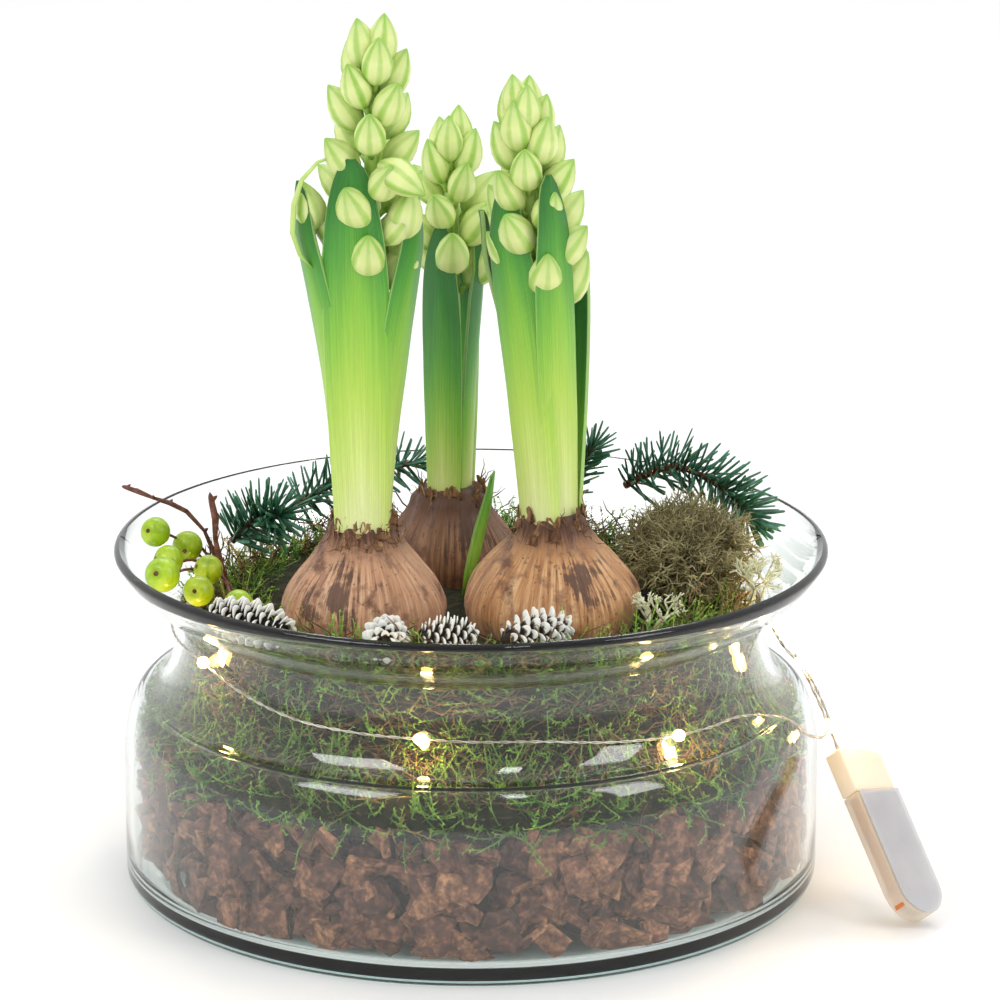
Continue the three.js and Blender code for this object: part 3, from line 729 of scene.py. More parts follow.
@dataclass(frozen=True)
class FrostedPlastic(Finish):
    """Injection-moulded clear ABS with an etched face, that scatters what is behind it."""

    colour: str = "#e9e4dc"
    clear: float = 0.5
    # painted glow: an emission colour that makes the plastic give off light, though no lamp is in it
    glow: str = "#000000"
    painted_glow_power: float = 0.0

    def dress(self, tree: bpy.types.NodeTree, shader: bpy.types.Node) -> None:
        """Lets part of the light through, over a cloudy colour, and paints a faint glow into it."""
        place = add(tree, "TexCoord").outputs["Object"]
        cloud = add(tree, "TexNoise", {"Vector": place, "Scale": 90.0, "Detail": 4.0}).outputs[0]
        shade = add(tree, "MapRange", {"Value": cloud, 3: 0.86, 4: 1.08}).outputs[0]
        tone = add(tree, "HueSaturation", {"Color": self.colour, "Value": shade}).outputs[0]
        tree.links.new(tone, shader.inputs["Base Color"])
        shader.inputs["Alpha"].default_value = 1 - self.clear
        # painted glow: emission on a part that is no lamp
        shader.inputs["Emission Color"].default_value = linear(self.glow)
        shader.inputs["Emission Strength"].default_value = self.painted_glow_power
        grit = add(tree, "TexNoise", {"Vector": place, "Scale": 2500.0, "Detail": 1.0}).outputs[0]
        self.relief(tree, shader, grit, 0.05)


@dataclass(frozen=True)
class SheetMetal(Finish):
    """Pressed metal, rolled before it was cut, with fine lines from the rolls."""

    colour: str = "#c8c8c8"

    def dress(self, tree: bpy.types.NodeTree, shader: bpy.types.Node) -> None:
        """Makes it metal with rolled lines a third of a millimetre apart."""
        place = add(tree, "TexCoord").outputs["Object"]
        long = add(tree, "Mapping", {"Vector": place, "Scale": (3000, 3000, 200)}).outputs[0]
        lines = add(tree, "TexNoise", {"Vector": long, "Scale": 1.0, "Detail": 2.0}).outputs[0]
        shade = add(tree, "MapRange", {"Value": lines, 3: 0.85, 4: 1.1}).outputs[0]
        tone = add(tree, "HueSaturation", {"Color": self.colour, "Value": shade}).outputs[0]
        tree.links.new(tone, shader.inputs["Base Color"])
        shader.inputs["Metallic"].default_value = 1.0


GLASS = BlownGlass("glass_blown_clear", 0.0)
BARK = Natural("bark_pine_split", 0.78, ("#2e1711", "#6f402f", "#b0765a"), 3.5, 0.8, vary=0.55)
# crumbs and painted shade: the dark core that fills the middle of the bark ring
BARK_CRUMBS_AND_SHADE = Natural("pine_crumbs_and_painted_shade", 0.9, ("#170d0a", "#33201a", "#4c3126"), 4.0, 2.0, vary=0.0)
MOSS = Natural("moss_living_shoots", 0.75, ("#34511a", "#55802a", "#7fa53c"), 6.0, 0.1, "#93b548", 0.35, 0.4)
MOSS_STRAW = Natural("moss_dead_shoots", 0.85, ("#5a4422", "#8a7440", "#b7a26c"), 5.0, 0.1, vary=0.35)
MOSS_GROUND = Natural("moss_shaded_ground", 0.95, ("#15140a", "#2a2b12", "#413a1e"), 4.0, 2.0, vary=0.0)
PEAT_FIBRE = Natural("fibre_peat_dry", 0.9, ("#3a2619", "#63472f", "#927250"), 4.0, 0.1, vary=0.4)
TORN_SKIN = Natural("tunic_torn_dry", 0.8, ("#50301e", "#86603f", "#c09c6e"), 2.6, 0.3, vary=0.45, stretch=4.0)
LEAF = LeafBlade("leaf_hyacinth_waxy", 0.38)
LEAF_DARK = LeafBlade("leaf_hyacinth_shaded", 0.38, (
    (0.0, "#dde895"), (0.14, "#b9d866"), (0.32, "#82bd3c"), (0.5, "#4f9a30"), (0.7, "#2f7c2a"), (1.0, "#286a28")))
STALK = Natural("stalk_hyacinth_fresh", 0.45, ("#a3cc58", "#b8da70", "#cfe68c"), 8.0, 0.1, vary=0.1, soft=0.2)
BUD = BudSkin("petal_hyacinth_closed", 0.42)
NEEDLE = Natural("needle_noble_fir", 0.5, ("#1c4a36", "#2f6b4c", "#5b9077"), 5.0, 0.05, "#47805f", 0.6, 0.28)
TWIG = Natural("twig_bark_thin", 0.75, ("#3c2119", "#6b4030", "#916050"), 2.5, 0.3, vary=0.15)
BERRY = Natural("berry_green_waxy", 0.3, ("#7f9d12", "#9fba1a", "#b9cf3a"), 6.0, 0.05, vary=0.1, soft=0.15)
SCALE = FrostedScale("scale_larch_frosted", 0.85)
LICHEN = Natural("lichen_dry_tangle", 0.9, ("#665c3a", "#938a60", "#bfb68c"), 9.0, 0.1, vary=0.3)
LICHEN_GROUND = Natural("lichen_shaded_ground", 0.95, ("#2b2516", "#4d4428", "#6e6440"), 4.0, 1.5, vary=0.0)
PALE_LICHEN = Natural("lichen_pale_antlers", 0.9, ("#b7b78f", "#d8d6b4", "#eeecd6"), 3.0, 0.15, vary=0.15)
WIRE = DrawnWire("wire_copper_tinned", 0.3)
RESIN = LampResin("resin_lamp_lit", 0.15)
# painted glow: the case and cap give off a faint warm light of their own
CASE_PLASTIC = FrostedPlastic("plastic_case_frosted", 0.35, "#e6dccb", 0.35, "#ffb37a", 0.05)
COVER_PLASTIC = FrostedPlastic("plastic_cover_smoky", 0.3, "#cfd0d4", 0.4)
CAP_PLASTIC = FrostedPlastic("plastic_cap_cream_painted_glow", 0.35, "#f1e6d2", 0.2, "#ffd9a0", 0.08)
CELL = SheetMetal("steel_cell_pressed", 0.3, "#9fa3a8")
COPPER = SheetMetal("copper_strip_rolled", 0.35, "#e08a55")


# ---- Bowl and filling ---------------------------------------------------------------------------


@dataclass
class Bowl:
    """The blown glass bowl: a wide body, a round shoulder, a neck and a flared rim."""

    rim: float = 130.0
    rim_height: float = 124.0
    neck: float = 107.0
    neck_height: float = 103.0
    body: float = 127.5
    corner: float = 6.0
    shoulder_low: float = 48.0
    shoulder_high: float = 72.5
    shoulder_in: float = 9.0
    wall: float = 3.0
    floor: float = 6.0
    steps: int = 160

    def outside(self) -> list[tuple[float, float]]:
        """The wall's outer line from its foot to below its lip."""
        points = []
        for i in range(7):
            a = math.pi / 2 * i / 6
            points.append((self.body - self.corner + self.corner * math.sin(a),
                           self.corner - self.corner * math.cos(a)))
        points += [(self.body, height) for height in (14.0, 26.0, 38.0)]
        inner = self.body - self.shoulder_in
        rise = self.shoulder_high - self.shoulder_low
        for i in range(11):
            a = math.pi / 2 * i / 10
            points.append((inner + self.shoulder_in * math.cos(a), self.shoulder_low + rise * math.sin(a)))
        fillet, drop = inner - self.neck, self.neck_height - self.shoulder_high
        for i in range(1, 11):
            a = math.pi / 2 * i / 10
            points.append((inner - fillet * math.sin(a), self.neck_height - drop * math.cos(a)))
        bend = [(self.neck, self.neck_height), (self.neck, self.neck_height + 3.5),
                (self.neck + 10, self.neck_height + 0.5), (self.rim, self.rim_height)]
        for i in range(1, 13):
            t = i / 12
            shares = ((1 - t) ** 3, 3 * t * (1 - t) ** 2, 3 * t * t * (1 - t), t ** 3)
            points.append(tuple(sum(s * p[k] for s, p in zip(shares, bend)) for k in (0, 1)))
        return points

    def inside(self) -> list[tuple[float, float]]:
        """The wall's inner line from below its lip down to the floor."""
        outer = self.outside()
        inner = []
        for i, (radius, height) in enumerate(outer):
            (r0, z0), (r1, z1) = outer[max(i - 1, 0)], outer[min(i + 1, len(outer) - 1)]
            long = math.hypot(r1 - r0, z1 - z0)
            inner.append((radius - (z1 - z0) / long * self.wall, height + (r1 - r0) / long * self.wall))
        line = [p for p in reversed(inner) if p[1] > self.floor + self.corner]
        edge = self.body - self.wall
        return line + [(edge - 0.1, self.floor + 5), (edge - 1.2, self.floor + 2.4), (edge - 3.4, self.floor + 0.7),
                       (edge - 7, self.floor), (0.0, self.floor)]

    def confine(self, points: np.ndarray) -> np.ndarray:
        """Moves the points that lie in the glass back to just inside it."""
        line = sorted((height, radius) for radius, height in self.inside() if radius > 1)
        room = np.interp(points[:, 2], [p[0] for p in line], [p[1] for p in line]) - 0.35
        room = np.where(points[:, 2] > self.rim_height - 6, 1e9, room)
        reach = np.hypot(points[:, 0], points[:, 1])
        share = np.minimum(1.0, room / np.maximum(reach, 1e-6))
        moved = points.copy()
        moved[:, 0] *= share
        moved[:, 1] *= share
        moved[:, 2] = np.maximum(moved[:, 2], self.floor + 0.3)
        return moved

    def room(self, height: float) -> float:
        """How far the inside of the wall is from the axis at a height."""
        line = sorted((z, radius) for radius, z in self.inside() if radius > 1)
        return float(np.interp(height, [p[0] for p in line], [p[1] for p in line]))

    def build(self) -> bpy.types.Object:
        """Spins the bowl with a round lip and a real wall."""
        outer, inner = self.outside(), self.inside()
        (r0, z0), (r1, z1) = outer[-1], inner[0]
        middle = ((r0 + r1) / 2, (z0 + z1) / 2)
        lip = [(middle[0] * 0.3 + r0 * 0.7 + 0.5, middle[1] * 0.3 + z0 * 0.7 + 0.9), (middle[0] + 0.5, middle[1] + 1.4),
               (middle[0] * 0.3 + r1 * 0.7 + 0.2, middle[1] * 0.3 + z1 * 0.7 + 1.1)]
        foot = [(0.0, 0.9), (70.0, 0.9), (108.0, 0.5), (116.0, 0.0)]
        piece = turned("glass_bowl_blown", foot + outer + lip + inner, self.steps)
        smooth(piece, 50)
        piece.data.materials.append(GLASS.material())
        return declare(piece, "bowl_glass", "glass_bowl")


@dataclass
class BarkBed:
    """The layer of split pine bark at the bottom of the bowl."""

    bowl: Bowl
    chips: int = 760
    low: float = 7.0
    top: float = 55.0
    seed: int = 11

    def chip(self, number: int) -> Shape:
        """Splits one chip off a block: a flat slab with broken, bevelled edges and a scaly face."""
        rng = random.Random(number)
        piece = primitive(Primitive.BLOCK, "chip", size=1.0)
        with editing(piece):
            bpy.ops.mesh.select_all(action="SELECT")
            wide, deep, thick = rng.uniform(17, 26), rng.uniform(11, 17), rng.uniform(2.6, 4.6)
            bpy.ops.transform.resize(value=(wide, deep, thick))
            bpy.ops.mesh.subdivide(number_cuts=2)
            for _ in range(4):
                turn = rng.uniform(0, 2 * math.pi)
                way = Vector((math.cos(turn), math.sin(turn), rng.uniform(-0.6, 0.6)))
                edge = way * rng.uniform(0.3, 0.44) * (wide if abs(way.x) > abs(way.y) else deep)
                bpy.ops.mesh.select_all(action="SELECT")
                bpy.ops.mesh.bisect(plane_co=edge, plane_no=way, clear_outer=True, use_fill=True)
            bpy.ops.mesh.select_all(action="SELECT")
            bpy.ops.mesh.quads_convert_to_tris()
        bend = rng.uniform(-0.02, 0.02)

        def worn(p: Vector) -> Vector:
            step = 1.3 * wave(p.x, p.y, p.z, 5.5, number) + 0.6 * wave(p.x, p.y, p.z, 2.2, number + 9)
            return p + Vector((step, -step, 0.9 * step + bend * p.x * p.x))

        reshape(piece, worn)
        modify(piece, "BEVEL", width=0.55, segments=1, limit_method="ANGLE", angle_limit=math.radians(35))
        return Shape.taken(piece)

    def build(self) -> None:
        """Lays the chips against the glass and over each other round a dark middle, whose colour is painted shade
        between the chips.
        """
        rng = random.Random(self.seed)
        shapes = [self.chip(number) for number in range(10)]
        copies = []
        for index in range(self.chips):
            around = 2 * math.pi * ((index * 0.7549) % 1.0) + rng.uniform(-0.1, 0.1)
            height = self.low + 3 + (self.top - self.low - 4) * ((index * 0.5698) % 1.0)
            outward = Vector((math.cos(around), math.sin(around), 0))
            aim = (outward + Vector((rng.gauss(0, 0.6), rng.gauss(0, 0.6), rng.gauss(0, 0.7)))).normalized()
            size = rng.uniform(0.5, 1.05)
            edge_on = math.sqrt(max(0.0, 1 - aim.dot(outward) ** 2))
            depth = size * (2.4 + 10.5 * edge_on) + rng.choice((0.2, 0.6, 2.0, 5.0, 9.0))
            radius = self.bowl.room(height) - depth
            copies.append(Copy(rng.choice(shapes), (*(outward * radius).xy, height), aim, rng.uniform(0, 6.28),
                               size, rng.random()))
        piece = planted("bark_chips", copies, BARK, self.bowl.confine)
        smooth(piece, 38)
        declare(piece, "pine_bark", "bark_bed")
        # painted shade: this core is darker than any chip and fills the middle, so the gaps between chips read as
        # shade; it stands for crumbs too
        core = turned("bark_core_crumbs_shade", [(0, 6.6), (101, 6.6), (103, 9), (103, 30), (101, 46), (0, 48)], 96)
        modify(core, "SUBSURF", levels=1, render_levels=1)
        reshape(core, lambda p: p * (1 + 0.02 * wave(p.x / MM, p.y / MM, p.z / MM, 7) if p.z > 0.008 else 1.0))
        smooth(core)
        core.data.materials.append(BARK_CRUMBS_AND_SHADE.material())
        declare(core, "pine_bark")


# each stretch of moss: its name, its shoots, and where on the ground it starts and ends
MOSS_ZONES = (("moss_shoulder", 2500, 0.0, 0.5), ("moss_neck", 1500, 0.42, 0.8), ("moss_top", 1500, 0.74, 1.0))


@dataclass
class MossBed:
    """The moss on the bark: a shaded ground with living and dead shoots and dry peat fibre."""

    bowl: Bowl
    top: float = 105.0
    seed: int = 23
    outline: tuple[tuple[float, float], ...] = (
        (0, 47), (112, 47), (119, 52), (118.5, 60), (113, 67), (103, 74), (99, 82), (98.5, 96), (95, 102),
        (80, 104.5), (40, 104), (0, 104))

    def shoot(self, number: int) -> Shape:
        """Grows one shoot: a bent stem with short leaves all round it."""
        rng = random.Random(number)
        bend, twist = rng.uniform(2, 6), rng.uniform(-2, 2)
        route = [(bend * t * t, twist * math.sin(3 * t), 16 * t) for t in (0, 0.3, 0.62, 1.0)]
        parts = [swept(route, (0.34, 0.3, 0.24, 0.1), 3)]
        for index in range(11):
            share = 0.12 + 0.85 * index / 10
            x, y, z = bend * share * share, twist * math.sin(3 * share), 16 * share
            turn = index * 2.3 + rng.uniform(-0.3, 0.3)
            out = Vector((math.cos(turn), math.sin(turn), rng.uniform(0.5, 1.1))).normalized()
            long = rng.uniform(1.7, 2.9) * (1.15 - 0.5 * share)
            parts.append(self.leaf(Vector((x, y, z)), out, long, share))
        return Shape.merged(parts)

    @staticmethod
    def leaf(foot: Vector, out: Vector, long: float, share: float) -> Shape:
        """One moss leaf: a closed three-sided spike, wide and thin."""
        side = out.cross(Vector((0, 0, 1))).normalized() * 0.42
        over = side.cross(out).normalized() * 0.16
        points = np.array([foot - side, foot + side, foot + over + out * 0.2, foot + out * long])
        return Shape(points, [(0, 1, 2), (1, 0, 3), (2, 1, 3), (0, 2, 3)], {"along": np.full(4, share)})

    def ground(self) -> None:
        """Turns the shaded ground and roughens it."""
        piece = turned("moss_ground", self.outline, 120)
        modify(piece, "SUBSURF", levels=1, render_levels=1)

        def lumpy(p: Vector) -> Vector:
            x, y, z = p / MM
            lump = 2.2 * wave(x, y, z, 11, 3) + 1.2 * wave(x, y, z, 4, 5)
            out = Vector((p.x, p.y, 0)).normalized() if p.xy.length > 0.09 else Vector((0, 0, 0.8))
            return p + out * lump * MM

        reshape(piece, lumpy)
        smooth(piece)
        piece.data.materials.append(MOSS_GROUND.material())
        declare(piece, "moss", "moss_bed")

    def surface(self, share: float, around: float) -> tuple[Vector, Vector]:
        """A point on the ground's visible side, and the way it faces.

        Args:
            share: From 0 at the bark to 1 at the inner end of the top.
            around: The angle about the axis.

        Returns:
            The point, in mm, and the direction.
        """
        line = self.outline[2:-2]
        lengths = np.cumsum([0] + [math.dist(a, b) for a, b in zip(line, line[1:])])
        at = share * lengths[-1]
        radius = float(np.interp(at, lengths, [p[0] for p in line]))
        height = float(np.interp(at, lengths, [p[1] for p in line]))
        index = min(int(np.searchsorted(lengths, at, side="right")), len(line) - 1)
        (r0, z0), (r1, z1) = line[index - 1], line[index]
        way = Vector((z1 - z0, 0, r0 - r1)).normalized()
        turn = Matrix.Rotation(around, 3, "Z")
        return turn @ Vector((radius, 0, height)), turn @ way

    def blades(self, name: str, count: int, low: float, high: float, seed: int) -> None:
        """Plants living and dead shoots on a stretch of the ground."""
        rng = random.Random(seed)
        shoots = [self.shoot(number) for number in range(7)]
        living, dead = [], []
        for _ in range(count):
            around, share = rng.uniform(0, 2 * math.pi), rng.uniform(low, high)
            place, out = self.surface(share, around)
            clump = wave(place.x, place.y, place.z, 26, 1.5)
            straw = clump - 0.28 + 0.5 * ease(78, 100, place.z) - 0.32 * ease(102, 104, place.z)
            aside = Vector((rng.gauss(0, 1), rng.gauss(0, 1), rng.gauss(0.25, 0.8)))
            aim = out * rng.uniform(0.1, 0.9) + aside * 0.75
            copy = Copy(rng.choice(shoots), place - out * 1.5, aim, rng.uniform(0, 6.28), rng.uniform(0.6, 1.25),
                        min(1.0, max(0.0, 0.5 + 0.6 * clump + rng.gauss(0, 0.22))))
            (dead if rng.random() < 0.16 + straw else living).append(copy)
        piece = planted(name, living, MOSS, self.bowl.confine)
        declare(piece, "moss")
        dry = planted(name + "_dry", dead, MOSS_STRAW, self.bowl.confine)
        declare(dry, "moss")

    def fibres(self) -> None:
        """Scatters peat fibre and long straws over the side of the ground."""
        rng = random.Random(self.seed + 5)
        shapes = []
        for number in range(6):
            bends = [(3.5 * wave(t, 0, 0, 6, number), 3.5 * wave(0, t, 0, 6, number + 4), t) for t in range(0, 31, 5)]
            shapes.append(swept(bends, [0.34] * 6 + [0.12], 4))
        straw = swept([(0, 0, 0), (0.4, 0, 12), (0, 0.5, 24), (0.8, 0, 34)], (0.75, 0.7, 0.6, 0.4), 5, 0.6)
        copies = []
        for _ in range(1500):
            around, share = rng.uniform(0, 2 * math.pi), rng.betavariate(2.2, 1.6)
            place, out = self.surface(min(share, 0.9), around)
            upward = Vector((0, 0, 1))
            level = out.cross(upward).normalized() * rng.choice((-1, 1))
            aim = level + out * rng.uniform(-0.1, 0.35) + upward * rng.gauss(0, 0.6)
            copies.append(Copy(rng.choice(shapes), place + out * rng.uniform(0, 2.5), aim, rng.uniform(0, 6.28),
                               rng.uniform(0.5, 1.0), rng.random()))
        for _ in range(26):
            around, share = rng.uniform(0, 2 * math.pi), rng.uniform(0.05, 0.55)
            place, out = self.surface(share, around)
            aim = out.cross(Vector((0, 0, 1))) * rng.choice((-1, 1)) + Vector((0, 0, rng.gauss(0, 0.5)))
            copies.append(Copy(straw, place + out * 3.5, aim, 0, rng.uniform(0.5, 0.95), 1.0))
        declare(planted("peat_fibre", copies, PEAT_FIBRE, self.bowl.confine), "root_fibre")

    def build(self) -> None:
        """Makes the ground, its shoots below and above the neck, and the fibre."""
        self.ground()
        for step, (name, count, low, high) in enumerate(MOSS_ZONES):
            self.blades(name, count, low, high, self.seed + step)
        self.fibres()


# ---- Hyacinths ----------------------------------------------------------------------------------


@dataclass
class Plant:
    """Where one hyacinth stands, and its heights."""

    name: str
    x: float
    y: float
    bulb: float
    low: float
    middle: float
    neck: float
    spike_low: float
    spike_high: float
    spread: float
    scab: Point
    skin: tuple[str, str, str]
    bow: float

    def axis(self, height: float) -> Vector:
        """A point on the plant's axis."""
        return Vector((self.x, self.y, height))

    def stem(self, height: float) -> Vector:
        """A point on its stalk, which bows a little towards its top."""
        share = ease(self.neck, 340, height)
        return self.axis(height) + Vector((self.bow * share, 0, 0))


@dataclass
class Bulb:
    """A bulb with veined skin, a torn collar of old skin and its root ball."""

    plant: Plant
    neck_radius: float = 11.0

    def profile(self) -> list[tuple[float, float]]:
        """The bulb's outline from foot to neck."""
        wide, low, mid, neck = self.plant.bulb, self.plant.low, self.plant.middle, self.plant.neck
        rows = [(0.0, low - 1), (0.5, low + 1), (0.78, low + 7), (0.93, low + 0.55 * (mid - low))]
        line = [(wide * share, height) for share, height in rows]
        line += [(wide, mid - 4.5), (0.99 * wide, mid), (0.94 * wide, mid + 4.5), (0.84 * wide, mid + 9),
                 (0.71 * wide, mid + 13.5), (0.58 * wide, mid + 17.5)]
        gap = neck - mid - 17.5
        line += [(self.neck_radius + 3.0, mid + 17.5 + 0.3 * gap), (self.neck_radius + 1.2, mid + 17.5 + 0.55 * gap),
                 (self.neck_radius + 0.4, neck - 3), (self.neck_radius - 1.5, neck - 0.5), (0, neck - 1)]
        return line

    def body(self) -> bpy.types.Object:
        """Turns the bulb, and gives it uneven sides, sunken patches and skin folds."""
        plant = self.plant
        piece = turned(f"bulb_{plant.name}_skin", self.profile(), 64)
        modify(piece, "SUBSURF", levels=1, render_levels=1)
        seed = plant.x

        def grown(p: Vector) -> Vector:
            x, y, z = p / MM
            out = Vector((p.x, p.y, 0)).normalized() if p.xy.length > 1e-5 else Vector((0, 0, 0))
            turn = math.atan2(y, x)
            fold = 0.55 * math.sin(9 * turn + 1.8 * wave(x, y, z, 20, seed)) * ease(plant.low, plant.middle, z)
            crust = ease(plant.neck - 12, plant.neck - 3, z)
            lump = 1.5 * wave(x, y, z, 17, seed) + (0.45 + 1.3 * crust) * wave(x, y, 0.4 * z, 4.2, seed + 2)
            return p + out * (fold + lump) * MM + Vector((plant.x, plant.y, 0)) * MM

        reshape(piece, grown)
        smooth(piece)
        finish = BulbSkin(f"tunic_bulb_{plant.name}", 0.55, (plant.x, plant.y), plant.low, plant.neck, plant.skin,
                          plant.scab)
        piece.data.materials.append(finish.material())
        return piece

    @staticmethod
    def flake(number: int) -> Shape:
        """A torn strip of old skin, curled and closed all round."""
        rng = random.Random(number)
        piece = primitive(Primitive.GRID, "flake", x_subdivisions=3, y_subdivisions=5, size=1.0)
        wide, tall, curl = rng.uniform(2.6, 5.5), rng.uniform(3.2, 6.2), rng.uniform(-1.2, 1.6)

        def torn(p: Vector) -> tuple[float, float, float]:
            rise = p.y + 0.5
            width = wide * (1 - 0.55 * rise ** 2) * (1 + 0.3 * wave(0, rise * 9, 0, 2, number))
            return (p.x * width, curl * rise * rise + 0.9 * abs(p.x) * 2,
                    rise * tall + 1.4 * wave(p.x * 9, 0, 0, 2, number))

        reshape(piece, torn)
        modify(piece, "SOLIDIFY", thickness=0.3, offset=0.0)
        return Shape.taken(piece, along=lambda co: min(1.0, max(0.0, co.z / tall)))

    def collar(self) -> bpy.types.Object:
        """Stands torn skin round the neck, and threads of it on the shoulder."""
        plant = self.plant
        rng = random.Random(int(plant.bulb * 10))
        flakes = [self.flake(number) for number in range(6)]
        thread = swept([(0, 0, 0), (0.6, 0.4, 3.5), (-0.3, 0.9, 7), (0.9, 0.2, 10)], (0.3, 0.28, 0.22, 0.1), 4)
        copies = []
        for index in range(78):
            turn = index * GOLDEN_TURN
            row = index % 3
            radius = self.neck_radius + (0.3, 0.9, 2.4)[row] + rng.uniform(-0.3, 0.4)
            height = plant.neck - (4.0, 7.0, 10.5)[row] + rng.uniform(-1.5, 1.5)
            out = Vector((math.cos(turn), math.sin(turn), 0))
            aim = Vector((rng.gauss(0, 0.16), rng.gauss(0, 0.16), 1)) - out * (0.1 + 0.22 * row)
            facing = turn - math.pi / 2 + rng.uniform(-0.3, 0.3)
            copies.append(Copy(rng.choice(flakes), plant.axis(height) + out * radius, aim, facing,
                               rng.uniform(0.6, 1.05) * (1 - 0.12 * row), rng.random() * 0.9))
        for _ in range(70):
            turn = rng.uniform(0, 2 * math.pi)
            out = Vector((math.cos(turn), math.sin(turn), 0))
            aim = Vector((rng.gauss(0, 0.5), rng.gauss(0, 0.5), rng.gauss(0.2, 0.6))) + out * 0.4
            place = plant.axis(plant.neck - rng.uniform(1, 13)) + out * (self.neck_radius + rng.uniform(0, 2.2))
            copies.append(Copy(thread, place, aim, rng.uniform(0, 6), rng.uniform(0.35, 0.9), rng.random() * 0.7))
        for copy in copies:
            if "along" not in copy.shape.marks:
                copy.shape.marks["along"] = np.zeros(len(copy.shape.points))
        return planted(f"bulb_{plant.name}_collar", copies, TORN_SKIN)

    def roots(self) -> bpy.types.Object:
        """Packs the root ball under the bulb."""
        plant = self.plant
        line = [(0, 62.5), (18, 63), (23, 68), (24, 76), (22, plant.low - 1), (0, plant.low + 1)]
        piece = turned(f"bulb_{plant.name}_root_ball", line, 32)
        modify(piece, "SUBSURF", levels=1, render_levels=1)
        reshape(piece, lambda p: p * (1 + 0.05 * wave(*(p / MM), 5)) * Vector((1, 1, 1)).x
                + Vector((plant.x, plant.y, 0)) * MM)
        smooth(piece)
        piece.data.materials.append(PEAT_FIBRE.material())
        return piece

    def build(self) -> None:
        """Makes the bulb, its collar and its root ball."""
        name = self.plant.name
        declare(self.body(), "bulb_skin", f"bulb_{name}")
        declare(self.collar(), "bulb_skin")
        declare(self.roots(), "root_fibre", f"root_ball_{name}")


@dataclass
class Leaf:
    """One strap leaf: it stands off the axis, faces an azimuth in degrees, and leans and sways."""

    name: str
    azimuth: float
    out: float
    width: float
    length: float
    lean: float
    sway: float = 0.0
    shaded: bool = False

    def build(self, plant: Plant) -> bpy.types.Object:
        """Bends a grid into a channelled blade with a hooded tip, and thickens it."""
        piece = primitive(Primitive.GRID, f"leaf_blade_{plant.name}_{self.name}", x_subdivisions=12,
                          y_subdivisions=34, size=1.0)
        turn = math.radians(self.azimuth)
        outward = Vector((math.cos(turn), math.sin(turn), 0))
        aside = Vector((-math.sin(turn), math.cos(turn), 0))
        foot = plant.axis(plant.neck - 5)
        long = self.length + 5
        seed = self.azimuth / 40

        def bent(p: Vector) -> Vector:
            s, t = 2 * p.x, min(p.y + 0.5, 0.997)
            slim = 0.84 + 0.16 * math.sin(min(t / 0.5, 1) * math.pi / 2)
            taper = slim if t < 0.56 else math.sqrt(1 - ((t - 0.56) / 0.44) ** 2.1)
            half = self.width / 2 * taper
            curl = (self.out + 1.2) * (1 + 0.9 * t)
            hood = ease(0.8, 1.0, t)
            spine = foot + Vector((0, 0, long * t)) + aside * self.sway * t ** 1.3
            spine += outward * (self.out + self.lean * t ** 1.6 - 3.2 * hood ** 1.6
                                + 0.5 * wave(t * 40, 0, 0, 14, seed))
            bend = s * half / curl
            channel = curl * (1 - math.cos(bend)) * (1 + 0.5 * hood)
            keel = (0.7 * ease(0.35, 0.9, t)) * (1 - abs(s)) ** 1.3
            ripple = 0.35 * wave(s * 5, t * 60, 0, 9, seed + 3) * abs(s)
            return (spine + aside * curl * math.sin(bend) + outward * (keel + ripple - channel)) * MM

        reshape(piece, bent)
        modify(piece, "SOLIDIFY", thickness=1.5 * MM, offset=-0.2, use_even_offset=True)
        with editing(piece):
            bpy.ops.mesh.select_all(action="SELECT")
            bpy.ops.mesh.normals_make_consistent(inside=False)
        modify(piece, "BEVEL", width=0.5 * MM, segments=2, limit_method="ANGLE", angle_limit=math.radians(60))
        smooth(piece)
        piece.data.materials.append((LEAF_DARK if self.shaded else LEAF).material())
        return declare(piece, "leaf", f"leaf_{plant.name}_{self.name}")


class BudHabit(Enum):
    """How the buds of a spike stand."""

    TIGHT = (0.42, 0.95)
    LOOSE = (0.6, 1.0)


